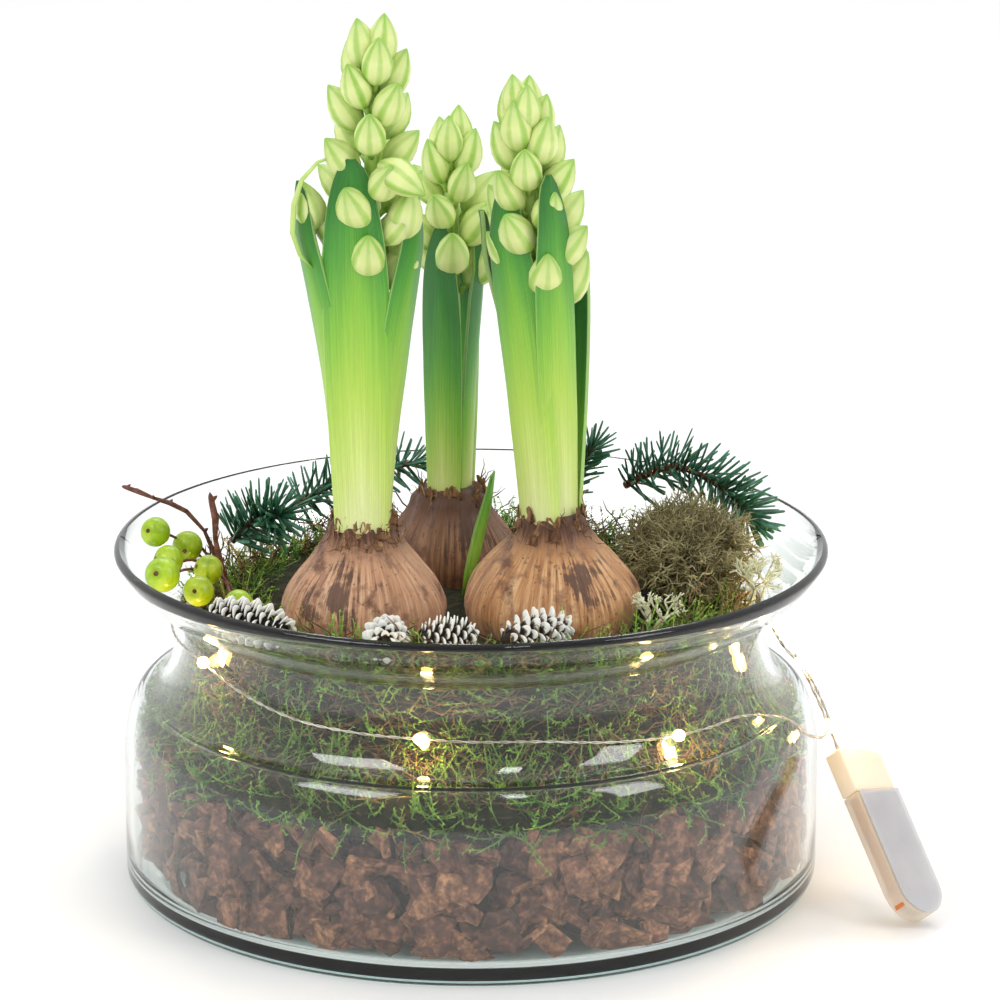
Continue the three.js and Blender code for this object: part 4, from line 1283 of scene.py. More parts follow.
@dataclass
class Spike:
    """A closed flower spike: a stalk with plump striped buds all round it."""

    plant: Plant
    buds: int
    habit: BudHabit = BudHabit.TIGHT
    bud_long: float = 21.0
    bud_wide: float = 12.2
    seed: int = 3

    @staticmethod
    def bud(long: float, wide: float, bend: float) -> Shape:
        """Shapes a ball into a bud of six folded petals, with its foot on the origin.

        Args:
            long: Its length, in mm.
            wide: Its greatest width.
            bend: How far its tip leans over.

        Returns:
            The bud, marked along its length and with its stripes.
        """
        piece = primitive(Primitive.BALL, "bud", segments=30, ring_count=14, radius=1.0)
        marks: dict[tuple[float, ...], tuple[float, float]] = {}

        def closed(p: Vector) -> Vector:
            share = (p.z + 1) / 2
            turn = math.atan2(p.y, p.x)
            share = 0.5 - 0.5 * math.cos(math.pi * share)
            swell = math.sin(math.pi * min(share, 1.0) ** 0.82) ** 0.8 if 0 < share < 1 else 0.0
            swell *= 1 - 0.1 * ease(0.75, 1.0, share)
            lobe = abs(math.cos(1.5 * turn)) ** 0.55 - 0.72
            ridge = 1 + (0.15 * lobe + 0.03 * math.cos(6 * turn)) * ease(0.0, 0.25, share)
            radius = wide / 2 * swell * ridge
            placed = Vector((radius * math.cos(turn) + bend * share ** 2, radius * math.sin(turn), long * share))
            from_rib = (math.degrees(turn) + 60) % 120 - 60
            rib = math.exp(-(from_rib / 13) ** 2) + 0.75 * math.exp(-((60 - abs(from_rib)) / 10) ** 2)
            marks[tuple(round(c, 4) for c in placed)] = (share, min(1.0, rib))
            return placed

        reshape(piece, closed)

        def known(index: int) -> Callable[[Vector], float]:
            return lambda co: marks.get(tuple(round(c, 4) for c in co), (0.5, 0.5))[index]

        return Shape.taken(piece, along=known(0), stripe=known(1))

    def stalk(self) -> bpy.types.Object:
        """Sweeps the stalk from the bulb to the top bud."""
        plant = self.plant
        heights = np.linspace(plant.neck - 8, plant.spike_high - 10, 9)
        radii = np.linspace(4.6, 2.0, 9)
        shape = swept([tuple(plant.stem(z)) for z in heights], radii, 14)
        shape.marks["stripe"] = np.zeros(len(shape.points))
        return planted(f"flower_stalk_{plant.name}", [Copy(shape, (0, 0, 0))], STALK)

    def build(self) -> None:
        """Sets the buds in a spiral, each on its own short foot."""
        plant = self.plant
        rng = random.Random(self.seed)
        shapes = [self.bud(self.bud_long, self.bud_wide, bend) for bend in (0.6, 1.6, 2.6)]
        foot = swept([(0, 0, 0), (0, 0, 2.2), (0, 0, 4.4)], (1.3, 1.1, 1.5), 6)
        foot.marks["stripe"] = np.ones(len(foot.points))
        low_lean, high_lean = self.habit.value
        copies, feet = [], []
        top = plant.spike_high - 0.86 * self.bud_long
        for index in range(self.buds):
            share = index / (self.buds - 1)
            turn = index * GOLDEN_TURN + rng.uniform(-0.12, 0.12)
            out = Vector((math.cos(turn), math.sin(turn), 0))
            lean = high_lean * plant.spread * (0.25 + low_lean + 0.9 * math.sin(math.pi * min(share + 0.22, 1.0)))
            lean *= 1 - 0.6 * ease(0.8, 1.0, share)
            height = plant.spike_low - 8 + (top - plant.spike_low + 8) * (1 - (1 - share) ** 1.15) - 3
            aim = (Vector((0, 0, 1)) + out * lean * 1.25).normalized()
            start = plant.stem(height) + out * (3.0 - 1.4 * share)
            size = (1.04 - 0.2 * share) * rng.uniform(0.93, 1.07)
            inward = math.pi + turn
            tint = min(1.0, max(0.0, 0.35 + 0.4 * share + rng.gauss(0, 0.18)))
            copies.append(Copy(rng.choice(shapes), start + aim * 3.2, aim, inward, size, tint))
            feet.append(Copy(foot, start, aim, 0, 1.0, 0.5))
        copies += self.strays(shapes[0])
        piece = planted(f"flower_buds_{plant.name}", copies, BUD)
        declare(piece, "flower_bud", f"flower_spike_{plant.name}")
        stalk = joined(f"flower_stalk_{plant.name}", [self.stalk(),
                                                      planted(f"bud_feet_{plant.name}", feet, STALK)])
        declare(stalk, "leaf")

    def strays(self, shape: Shape) -> list[Copy]:
        """The single buds that hang out of the left spike."""
        if self.plant.name != "left":
            return []
        foot = self.plant.axis(276) + Vector((6, -9, 0))
        low = self.plant.axis(240)
        return [
            Copy(shape, foot, (0.72, -0.35, -0.42), 0.4, (1.0, 1.0, 1.0), 0.9),
            Copy(shape, low + Vector((-16, -2, 9)), (-0.25, -0.1, 1), 0, 0.95, 0.6),
            Copy(shape, low + Vector((13, -3, 6)), (0.2, -0.25, 1), 0, 1.05, 0.3),
            Copy(shape, low + Vector((14, 2, -6)), (0.12, -0.1, 1), 0, 1.0, 0.35),
        ]


@dataclass
class CurledPetal:
    """The thin petal that has come loose on the left spike and curls down beside the leaf."""

    plant: Plant

    def build(self) -> None:
        """Sweeps a flat tapered band along the curl."""
        x, y = self.plant.x, self.plant.y
        route = [(x - 8, y - 5, 278), (x - 15, y - 8, 276), (x - 20.5, y - 9, 270), (x - 23.5, y - 9, 261),
                 (x - 24, y - 9, 251), (x - 21.5, y - 9, 243), (x - 17, y - 8, 238)]
        shape = swept(route, (0.9, 1.2, 1.5, 1.9, 2.1, 1.7, 0.5), 8, 0.45)
        shape.marks["stripe"] = np.full(len(shape.points), 0.6)
        declare(planted("petal_curled", [Copy(shape, (0, 0, 0))], BUD), "flower_bud")


@dataclass
class SideShoot:
    """The young rolled shoot between the bulbs."""

    def build(self) -> None:
        """Sweeps the rolled blade and adds its darker fold."""
        route = [(-1.5, -3, 107), (-0.5, -3, 115), (1.2, -2.6, 122), (3.2, -1.6, 131), (6, 0, 141), (8.5, 2, 152)]
        blade = swept(route, (2.8, 3.7, 4.1, 4.0, 3.2, 0.7), 14, 0.55)
        fold = swept([(x - 1.2, y - 1.6, z - 1) for x, y, z in route], (1.6, 2.0, 2.4, 2.4, 1.8, 0.4), 10, 0.5)
        for shape in (blade, fold):
            shape.marks["stripe"] = np.zeros(len(shape.points))
        finish = Natural("leaf_side_shoot", 0.35, ("#6da32c", "#8cc63f", "#a9d95a"), 7.0, 0.1, "#5f9e2c", 0.5,
                         vary=0.08, stretch=5.0, soft=0.2)
        copies = [Copy(blade, (0, 0, 0), tint=0.6), Copy(fold, (0, 0, 0), tint=0.3)]
        declare(planted("side_shoot_rolled", copies, finish), "leaf", "offset_shoot")


@dataclass
class Hyacinth:
    """One plant: its bulb, its leaves and its flower spike."""

    plant: Plant
    leaves: Sequence[Leaf]
    buds: int
    habit: BudHabit
    seed: int

    def build(self) -> None:
        """Makes the whole plant."""
        Bulb(self.plant).build()
        for leaf in self.leaves:
            leaf.build(self.plant)
        Spike(self.plant, self.buds, self.habit, seed=self.seed).build()


TAN_SKIN = ("#9a6a4c", "#c2906c", "#dcb08c")
ORANGE_SKIN = ("#935f38", "#c18a58", "#e2b888")
BROWN_SKIN = ("#5c3a26", "#855a3c", "#aa7c58")

HYACINTHS = (
    Hyacinth(
        Plant("left", -38.5, -35, 30, 90, 114, 147, 238, 327, 0.55, (-52, -62, 124), TAN_SKIN, 5),
        (Leaf("front", -92, 11.2, 25, 131, 2.5, -3), Leaf("right", -40, 9, 16, 116, 11, 10),
         Leaf("outer", -145, 8.5, 16, 122, 15, -9), Leaf("behind", 96, 11.2, 20, 104, 7, 7, shaded=True)),
        27, BudHabit.LOOSE, 3),
    Hyacinth(
        Plant("right", 29, -30, 32, 90, 115, 147, 230, 306, 0.52, (45, -57, 131), ORANGE_SKIN, -13),
        (Leaf("front_left", -122, 10.8, 20.5, 119, 6, -12), Leaf("front_right", -58, 8.4, 16.5, 125, 5, -9),
         Leaf("outer", 166, 8, 12, 108, 21, shaded=True), Leaf("behind", 72, 11, 22, 108, 6, shaded=True)),
        26, BudHabit.TIGHT, 5),
    Hyacinth(
        Plant("back", -7, 35, 24, 90, 113, 139, 222, 280, 0.45, (4, 14, 128), BROWN_SKIN, 0),
        (Leaf("front", -112, 9.4, 15.5, 100, 4, shaded=True), Leaf("right", -22, 6.9, 12, 97, 6, shaded=True),
         Leaf("behind", 80, 9.6, 17, 92, 7, shaded=True)),
        17, BudHabit.LOOSE, 8),
)


# ---- Dressing -----------------------------------------------------------------------------------


@dataclass
class FirSprig:
    """A tip of noble fir: a thin twig with blunt, up-curved needles on every side."""

    name: str
    twig: Sequence[Point]
    needles: int
    length: float
    forward: float = 0.55
    upward: float = 0.25
    seed: int = 1

    @staticmethod
    def needle(bend: float) -> Shape:
        """Sweeps one blunt, flattened needle, 10 mm long."""
        route = [(0, 0, 0), (0, 0.05 * bend, 1.2), (0, 0.35 * bend, 4), (0, 0.9 * bend, 7), (0, 1.5 * bend, 9.6),
                 (0, 1.6 * bend, 10)]
        return swept(route, (0.45, 0.7, 0.82, 0.8, 0.66, 0.3), 6, 0.5)

    def route(self, share: float) -> Vector:
        """The point at a share of the twig's length, on a smooth line through its points."""
        points = [Vector(p) for p in self.twig]
        along = share * (len(points) - 1)
        index = min(int(along), len(points) - 2)
        t = along - index
        p0, p1, p2, p3 = (points[min(max(index + k, 0), len(points) - 1)] for k in (-1, 0, 1, 2))
        return 0.5 * (2 * p1 + (p2 - p0) * t + (2 * p0 - 5 * p1 + 4 * p2 - p3) * t * t
                      + (3 * p1 - p0 - 3 * p2 + p3) * t ** 3)

    def build(self) -> None:
        """Plants the needles up the twig, denser and more forward at its tip."""
        rng = random.Random(self.seed)
        shapes = [self.needle(bend) for bend in (0.5, 1.2, 2.0)]
        copies = []
        for index in range(self.needles):
            share = min(0.995, 0.03 + 0.97 * (index + rng.random()) / self.needles)
            place, ahead = self.route(share), self.route(min(share + 0.03, 1.0)) - self.route(share - 0.03)
            ahead.normalize()
            side = ahead.cross(Vector((0, 0, 1))).normalized()
            over = side.cross(ahead).normalized()
            turn = index * GOLDEN_TURN
            away = side * math.cos(turn) + over * (math.sin(turn) * 0.85 + self.upward)
            tip = ease(0.82, 1.0, share)
            aim = away.normalized() * (1 - 0.45 * tip) + ahead * (self.forward + 0.7 * tip + rng.gauss(0, 0.1))
            roll = rng.gauss(0, 0.3)
            long = self.length / 10 * rng.uniform(0.8, 1.08) * (1 - 0.15 * tip)
            copies.append(Copy(rng.choice(shapes), place, aim, roll, (1.0, 1.0, long), rng.random()))
        green = planted(f"fir_needles_{self.name}", copies, NEEDLE)
        line = [tuple(self.route(i / 12)) for i in range(13)]
        stick = planted(f"fir_twig_{self.name}", [Copy(swept(line, np.linspace(1.5, 0.9, 13), 8), (0, 0, 0))], TWIG)
        declare(joined(f"fir_tip_{self.name}", [green, stick]), "fir_needle", f"fir_sprig_{self.name}")


FIR_TIPS = (
    FirSprig("left", ((-88, 14, 122), (-78, 14, 131), (-70, 10, 133)), 120, 15.0, 0.35, 0.3, 1),
    FirSprig("back_left", ((-66, 62, 122), (-46, 74, 130), (-20, 80, 134)), 120, 13.0, 0.4, 0.35, 2),
    FirSprig("right", ((58, 62, 130), (76, 52, 140), (94, 42, 134), (104, 36, 124)), 190, 14.5, 0.5, 0.35, 3),
    FirSprig("back_right", ((34, 84, 116), (40, 80, 130), (46, 76, 141)), 80, 12.0, 0.8, 0.2, 4),
)


@dataclass
class Berries:
    """The spray of green berries and its two bare twigs."""

    spots: Sequence[tuple[float, float, float, float]] = (
        (-114.5, -8, 131.8, 5.5), (-109.5, -16, 123.4, 5.6), (-103.4, -1, 124.5, 5.6), (-110.6, -35, 123.6, 6.4),
        (-97.5, -38, 118.4, 5.6), (-95, -18, 120.4, 5.5), (-83.2, -42, 114.8, 5.2))
    hub: Point = (-92, -4, 113)

    @staticmethod
    def berry() -> Shape:
        """Shapes a ball into a berry 2 mm across with a puckered end."""
        piece = primitive(Primitive.BALL, "berry", segments=28, ring_count=18, radius=1.0)
        with editing(piece):
            pick_faces(piece, lambda face: face.calc_center_median().z > 0.965)
            bpy.ops.transform.translate(value=(0, 0, -0.09))
            pick_faces(piece, lambda face: face.calc_center_median().z < -0.965)
            bpy.ops.transform.translate(value=(0, 0, 0.06))
            bpy.ops.mesh.select_all(action="SELECT")
            bpy.ops.transform.resize(value=(1, 1, 0.96))
        return Shape.taken(piece, along=lambda co: 0.0)

    def build(self) -> None:
        """Places the berries with their ends outwards, and their stalks."""
        rng = random.Random(5)
        shape = self.berry()
        scar = swept([(0, 0, 0.84), (0, 0, 0.93), (0, 0, 0.97)], (0.16, 0.13, 0.05), 7)
        berries, scars, stalks = [], [], []
        hub = Vector(self.hub)
        for x, y, z, radius in self.spots:
            place = Vector((x, y, z))
            aim = Vector((rng.gauss(-0.3, 0.4), rng.gauss(-0.8, 0.3), rng.gauss(0.2, 0.4)))
            berries.append(Copy(shape, place, aim, rng.random() * 6, radius, rng.random()))
            scars.append(Copy(scar, place, aim, 0, radius, 0.4))
            foot = place - aim.normalized() * radius * 0.9
            bow = (foot + hub) / 2 + Vector((0, 4, 5))
            line = [tuple(foot * (1 - t) ** 2 + bow * 2 * t * (1 - t) + hub * t * t) for t in np.linspace(0, 1, 8)]
            stalks.append(Copy(swept(line, [0.55] * 8, 6), (0, 0, 0), tint=0.3))
        nodes = [f"berry_{number + 1}" for number in range(len(self.spots))]
        declare(joined("berries_green", [planted("berries", berries, BERRY),
                                         planted("berry_scars", scars + stalks, TWIG)]), "berry", *nodes)
        self.twig("long", [(-126, 10, 143.5), (-121, 7, 142.6), (-116, 5, 141), (-110, 6.5, 138.6), (-104, 8, 135),
                           (-97.5, 6.5, 128), (-93, 4, 118)], 0.85)
        self.twig("short", [(-94, -9, 144), (-92.6, -9.2, 137), (-92.8, -10, 130), (-91, -11, 121), (-88.5, -12, 112)],
                  1.15)

    @staticmethod
    def twig(name: str, line: Sequence[Point], radius: float) -> None:
        """Sweeps a bare twig with small knots and side buds."""
        radii = [radius * (1 + 0.25 * math.sin(2.3 * i)) for i in range(len(line))]
        copies = [Copy(swept(line, radii, 9), (0, 0, 0), tint=0.5)]
        bud = swept([(0, 0, -0.4), (0, 0, 0.6), (0, 0.1, 1.6), (0, 0.2, 2.4)], (0.7, 0.85, 0.6, 0.1), 7)
        for index, point in enumerate(line[:-1]):
            aim = Vector((math.cos(index * 2.4), math.sin(index * 2.4), 0.8))
            copies.append(Copy(bud, point, aim, 0, radius, 0.2))
        copies.append(Copy(bud, line[0], Vector(line[0]) - Vector(line[1]), 0, radius * 1.1, 0.2))
        declare(planted(f"berry_twig_{name}_bark", copies, TWIG), "twig_bark", f"berry_twig_{name}")


@dataclass
class LarchCone:
    """A small larch cone: rows of round scales, each with a frosted edge."""

    name: str
    place: Point
    aim: Point
    length: float
    radius: float
    rows: int = 9

    @staticmethod
    def scale() -> Shape:
        """Bends a grid into a shell-shaped scale with a turned-out edge, 4 mm long."""
        piece = primitive(Primitive.GRID, "scale", x_subdivisions=5, y_subdivisions=5, size=1.0)

        def shell(p: Vector) -> tuple[float, float, float]:
            rise = p.y + 0.5
            width = 4.4 * math.sqrt(max(0.02, rise)) * (1 - 0.35 * ease(0.6, 1.0, rise))
            lip = 0.9 * ease(0.6, 1.0, rise)
            return p.x * width, 1.2 * (2 * p.x) ** 2 * rise - 1.9 * rise - lip, 4.2 * rise - 0.9 * (2 * p.x) ** 2 * rise

        reshape(piece, shell)
        modify(piece, "SOLIDIFY", thickness=0.35, offset=0.0)
        return Shape.taken(piece, along=lambda co: min(1.0, max(0.0, co.z / 4.2 + 0.12 * abs(co.x))))

    def build(self) -> None:
        """Wraps the scales in a spiral round a tapered core."""
        shape = self.scale()
        rng = random.Random(int(self.length * 10))
        heading = Vector(self.aim).normalized()
        frame_of = facing(heading)
        count = int(self.rows * 7)
        copies = []
        for index in range(count):
            share = index / (count - 1)
            swell = math.sin(math.pi * (0.12 + 0.8 * share)) ** 0.7
            turn = index * GOLDEN_TURN
            away = frame_of @ Vector((math.cos(turn), math.sin(turn), 0))
            foot = (Vector(self.place) + heading * (self.length * (0.02 + 0.86 * share))
                    + away * self.radius * 0.5 * swell)
            open_out = 0.62 - 0.5 * ease(0.7, 1.0, share)
            aim = heading + away * open_out
            local = facing(aim).inverted() @ away
            roll = math.atan2(local.y, local.x) + math.pi / 2
            size = self.radius / 6.2 * (0.6 + 0.5 * swell) * rng.uniform(0.92, 1.1)
            copies.append(Copy(shape, foot, aim, roll, size, rng.random()))
        core_line = [tuple(Vector(self.place) + heading * self.length * t) for t in (0.0, 0.2, 0.5, 0.8, 0.93)]
        core = swept(core_line, [self.radius * r for r in (0.2, 0.6, 0.68, 0.4, 0.1)], 12)
        core.marks["along"] = np.zeros(len(core.points))
        copies.append(Copy(core, (0, 0, 0)))
        declare(planted(f"cone_scales_{self.name}", copies, SCALE), "frosted_cone", f"larch_cone_{self.name}")


CONES = (
    LarchCone("big_left", (-93, -53, 114.8), (0.8, -0.6, -0.02), 38, 7.0, 14),
    LarchCone("end_on", (-29, -76.5, 114.6), (-0.05, -1, 0.1), 17, 6.6, 8),
    LarchCone("middle", (-19, -86, 115.6), (1, 0.12, 0.02), 21, 6.2, 9),
    LarchCone("right", (11, -87, 115), (0.86, 0.5, 0.06), 28, 6.6, 11),
)


@dataclass
class LichenTangle:
    """The dry lichen on the right: a tangle of thin forking threads over a shaded middle."""

    centre: Point = (79, 4, 121)
    radii: Point = (22, 35, 13.5)
    threads: int = 2300
    seed: int = 41

    def build(self) -> None:
        """Plants the threads on and in a lumpy cushion."""
        rng = random.Random(self.seed)
        shapes = []
        for number in range(8):
            line = [(3.2 * wave(t, 0, 0, 4, number), 3.2 * wave(0, t, 0, 4, number + 7), t) for t in range(0, 13, 2)]
            main = swept(line, [0.42, 0.4, 0.36, 0.32, 0.27, 0.2, 0.09], 3)
            fork = swept([line[3], (line[3][0] + 1.6, line[3][1] - 1.0, 8.4), (line[3][0] + 3.8, line[3][1] - 1.4, 10)],
                         [0.3, 0.24, 0.08], 3)
            shapes.append(Shape.merged([main, fork]))
        copies = []
        centre = Vector(self.centre)
        for _ in range(self.threads):
            out = Vector((rng.gauss(0, 1), rng.gauss(0, 1), rng.gauss(0.35, 0.9))).normalized()
            depth = rng.uniform(0.6, 0.96)
            lump = 1 + 0.14 * wave(out.x * 20, out.y * 20, out.z * 20, 11, 2)
            place = centre + Vector(o * r for o, r in zip(out, self.radii)) * depth * lump
            aim = out * 0.5 + Vector((rng.gauss(0, 0.8), rng.gauss(0, 0.8), rng.gauss(0, 0.7)))
            copies.append(Copy(rng.choice(shapes), place, aim, rng.uniform(0, 6.28), rng.uniform(0.45, 0.95),
                               min(1, max(0, 0.45 + 0.5 * wave(place.x, place.y, place.z, 14) + rng.gauss(0, 0.2)))))
        threads = planted("lichen_threads", copies, LICHEN)
        declare(threads, "dry_lichen", "lichen_tuft")
        ground = primitive(Primitive.GEM, "lichen_ground", subdivisions=5, radius=1.0)

        def lumpy(p: Vector) -> Vector:
            lump = 0.8 + 0.12 * wave(p.x * 20, p.y * 20, p.z * 20, 7, 4)
            return (centre + Vector(c * r * lump for c, r in zip(p, self.radii))) * MM

        reshape(ground, lumpy)
        smooth(ground)
        ground.data.materials.append(LICHEN_GROUND.material())
        declare(ground, "dry_lichen")


@dataclass
class PaleLichen:
    """A pale antler lichen: stalks that fork again and again."""

    name: str
    foot: Point
    size: float
    seed: int

    def build(self) -> None:
        """Grows the forks."""
        rng = random.Random(self.seed)
        copies: list[Copy] = []

        def grow(start: Vector, way: Vector, long: float, thick: float, depth: int) -> None:
            end = start + way * long
            bow = start + way * long * 0.5 + Vector((rng.gauss(0, 0.4), rng.gauss(0, 0.4), 0))
            line = [tuple(start), tuple(bow), tuple(end)]
            copies.append(Copy(swept(line, (thick, thick * 0.92, thick * 0.75), 6, 0.7), (0, 0, 0), tint=rng.random()))
            if depth == 0:
                return
            for _ in range(rng.choice((2, 2, 3))):
                turn = (way + Vector((rng.gauss(0, 0.62), rng.gauss(0, 0.5), rng.gauss(0.12, 0.4)))).normalized()
                grow(end, turn, long * rng.uniform(0.62, 0.85), thick * 0.78, depth - 1)

        foot = Vector(self.foot)
        for _ in range(4):
            way = Vector((rng.gauss(0, 0.4), rng.gauss(-0.1, 0.3), 1)).normalized()
            grow(foot + Vector((rng.gauss(0, 2.4), rng.gauss(0, 1.5), -1)), way, self.size * 0.3, 0.85, 4)
        declare(planted(f"lichen_antlers_{self.name}", copies, PALE_LICHEN), "pale_lichen",
                f"pale_lichen_{self.name}")


# ---- Light string -------------------------------------------------------------------------------


@dataclass
class LightString:
    """Nine lamps on a pair of thin wires, wound once round the neck from the battery case."""

    spots: Sequence[float] = (10, 63, 163, 263, 363, 463, 563, 659, 769)
    strand: float = 0.26
    apart: float = 0.33
    twist: float = 11.0
    route: Sequence[Point] = (
        (133.1, -33.2, 56.3), (131.6, -31.2, 60.5), (128.6, -29.0, 67.5), (124.5, -26.5, 76.5), (119.4, -24.0, 86.0),
        (114.0, -20.5, 91.5), (110.4, -6.0, 94.8), (108.9, 13.4, 95.2), (100.1, 44.6, 96.2), (82.7, 71.9, 96.2),
        (58.1, 92.9, 96.2), (28.4, 105.9, 96.2), (-3.8, 109.5, 96.2), (-35.7, 103.6, 96.2), (-64.4, 88.7, 96.2),
        (-87.5, 66.0, 96.2), (-103.0, 37.5, 96.7), (-109.4, 5.7, 97.2), (-107.1, -22.8, 97.2), (-101.5, -41.0, 97.2),
        (-95.5, -53.6, 96.6), (-80.5, -75.1, 91.8), (-60.4, -93.0, 87.7), (-38.0, -104.5, 86.6),
        (-20.5, -109.3, 86.4), (0.0, -111.4, 85.8), (24.3, -108.9, 85.1), (49.3, -101.1, 82.3), (70.9, -88.5, 80.3),
        (84.5, -76.1, 79.6), (95.4, -62.4, 79.1), (105.0, -54.0, 76.8), (114.0, -48.2, 73.2), (121.0, -43.0, 66.0),
        (127.0, -38.2, 63.5), (129.6, -34.0, 67.0), (126.6, -31.0, 75.5), (121.8, -28.6, 84.8), (117.0, -26.2, 91.0))

    def centreline(self, spacing: float = 2.0) -> list[Vector]:
        """The cord's own line: a smooth curve through the route, as centripetal splines make it."""
        points = [Vector(p) for p in self.route]
        points = [2 * points[0] - points[1], *points, 2 * points[-1] - points[-2]]
        dense: list[Vector] = []
        for p0, p1, p2, p3 in zip(points, points[1:], points[2:], points[3:]):
            t1 = math.sqrt((p1 - p0).length)
            t2 = t1 + math.sqrt((p2 - p1).length)
            t3 = t2 + math.sqrt((p3 - p2).length)
            for i in range(24):
                t = t1 + (t2 - t1) * i / 24
                a1 = p0 * (t1 - t) / t1 + p1 * t / t1
                a2 = p1 * (t2 - t) / (t2 - t1) + p2 * (t - t1) / (t2 - t1)
                a3 = p2 * (t3 - t) / (t3 - t2) + p3 * (t - t2) / (t3 - t2)
                b1 = a1 * (t2 - t) / t2 + a2 * t / t2
                b2 = a2 * (t3 - t) / (t3 - t1) + a3 * (t - t1) / (t3 - t1)
                dense.append(b1 * (t2 - t) / (t2 - t1) + b2 * (t - t1) / (t2 - t1))
        dense.append(points[-2])
        lengths = np.cumsum([0] + [(b - a).length for a, b in zip(dense, dense[1:])])
        steps = np.linspace(0, lengths[-1], int(lengths[-1] / spacing) + 1)
        axes = [np.interp(steps, lengths, [p[k] for p in dense]) for k in range(3)]
        return [Vector(p) for p in zip(*axes)]

    def strands(self, line: Sequence[Vector]) -> bpy.types.Object:
        """Twists two strands about the line."""
        shapes = []
        side = Vector((0, 0, 1))
        sides = []
        for index in range(len(line)):
            ahead = (line[min(index + 1, len(line) - 1)] - line[max(index - 1, 0)]).normalized()
            side = (side - ahead * side.dot(ahead)).normalized()
            turn = 2 * math.pi * index * 2.0 / self.twist
            sides.append(side * math.cos(turn) + ahead.cross(side) * math.sin(turn))
        for way in (-1, 1):
            route = [tuple(p + s * way * self.apart) for p, s in zip(line, sides)]
            shapes.append(swept(route, [self.strand] * len(route), 6))
        return planted("light_wire_strands", [Copy(s, (0, 0, 0)) for s in shapes], WIRE)

    @staticmethod
    def drop() -> Shape:
        """Shapes a ball into a drop of resin 5 mm long, drawn out along the wire."""
        piece = primitive(Primitive.BALL, "drop", segments=16, ring_count=12, radius=1.0)

        def drawn(p: Vector) -> tuple[float, float, float]:
            pull = 2.2 * (1 - 0.35 * abs(p.z) ** 2)
            return p.x * pull, p.y * pull, p.z * 2.7

        reshape(piece, drawn)
        return Shape.taken(piece, along=lambda co: 0.0)

    def build(self) -> tuple[bpy.types.Object, list[bpy.types.Object]]:
        """Makes the wire and its lamps, each lamp with its own warm light.

        Returns:
            The wire and its lamps.
        """
        line = self.centreline()
        wire = declare(self.strands(line), "wire", "light_wire")
        shape = self.drop()
        lamps = []
        for number, spot in enumerate(self.spots, start=1):
            index = min(round(spot / 2.0), len(line) - 2)
            ahead = line[index + 1] - line[index - 1]
            lamp = planted(f"lamp_drop_{number}", [Copy(shape, line[index], ahead)], RESIN)
            lamps.append(declare(lamp, "lamp_resin", f"lamp_bead_{number}"))
            glow = bpy.data.lights.new(f"lamp_glow_{number}", "POINT")
            glow.energy, glow.color, glow.shadow_soft_size = 0.045, linear("#ffc26b")[:3], 2.5 * MM
            source = bpy.data.objects.new(glow.name, glow)
            outward = Vector((line[index].x, line[index].y, 0)).normalized()
            source.location = (line[index] + outward * 3.4) * MM
            bpy.context.scene.collection.objects.link(source)
        return wire, lamps


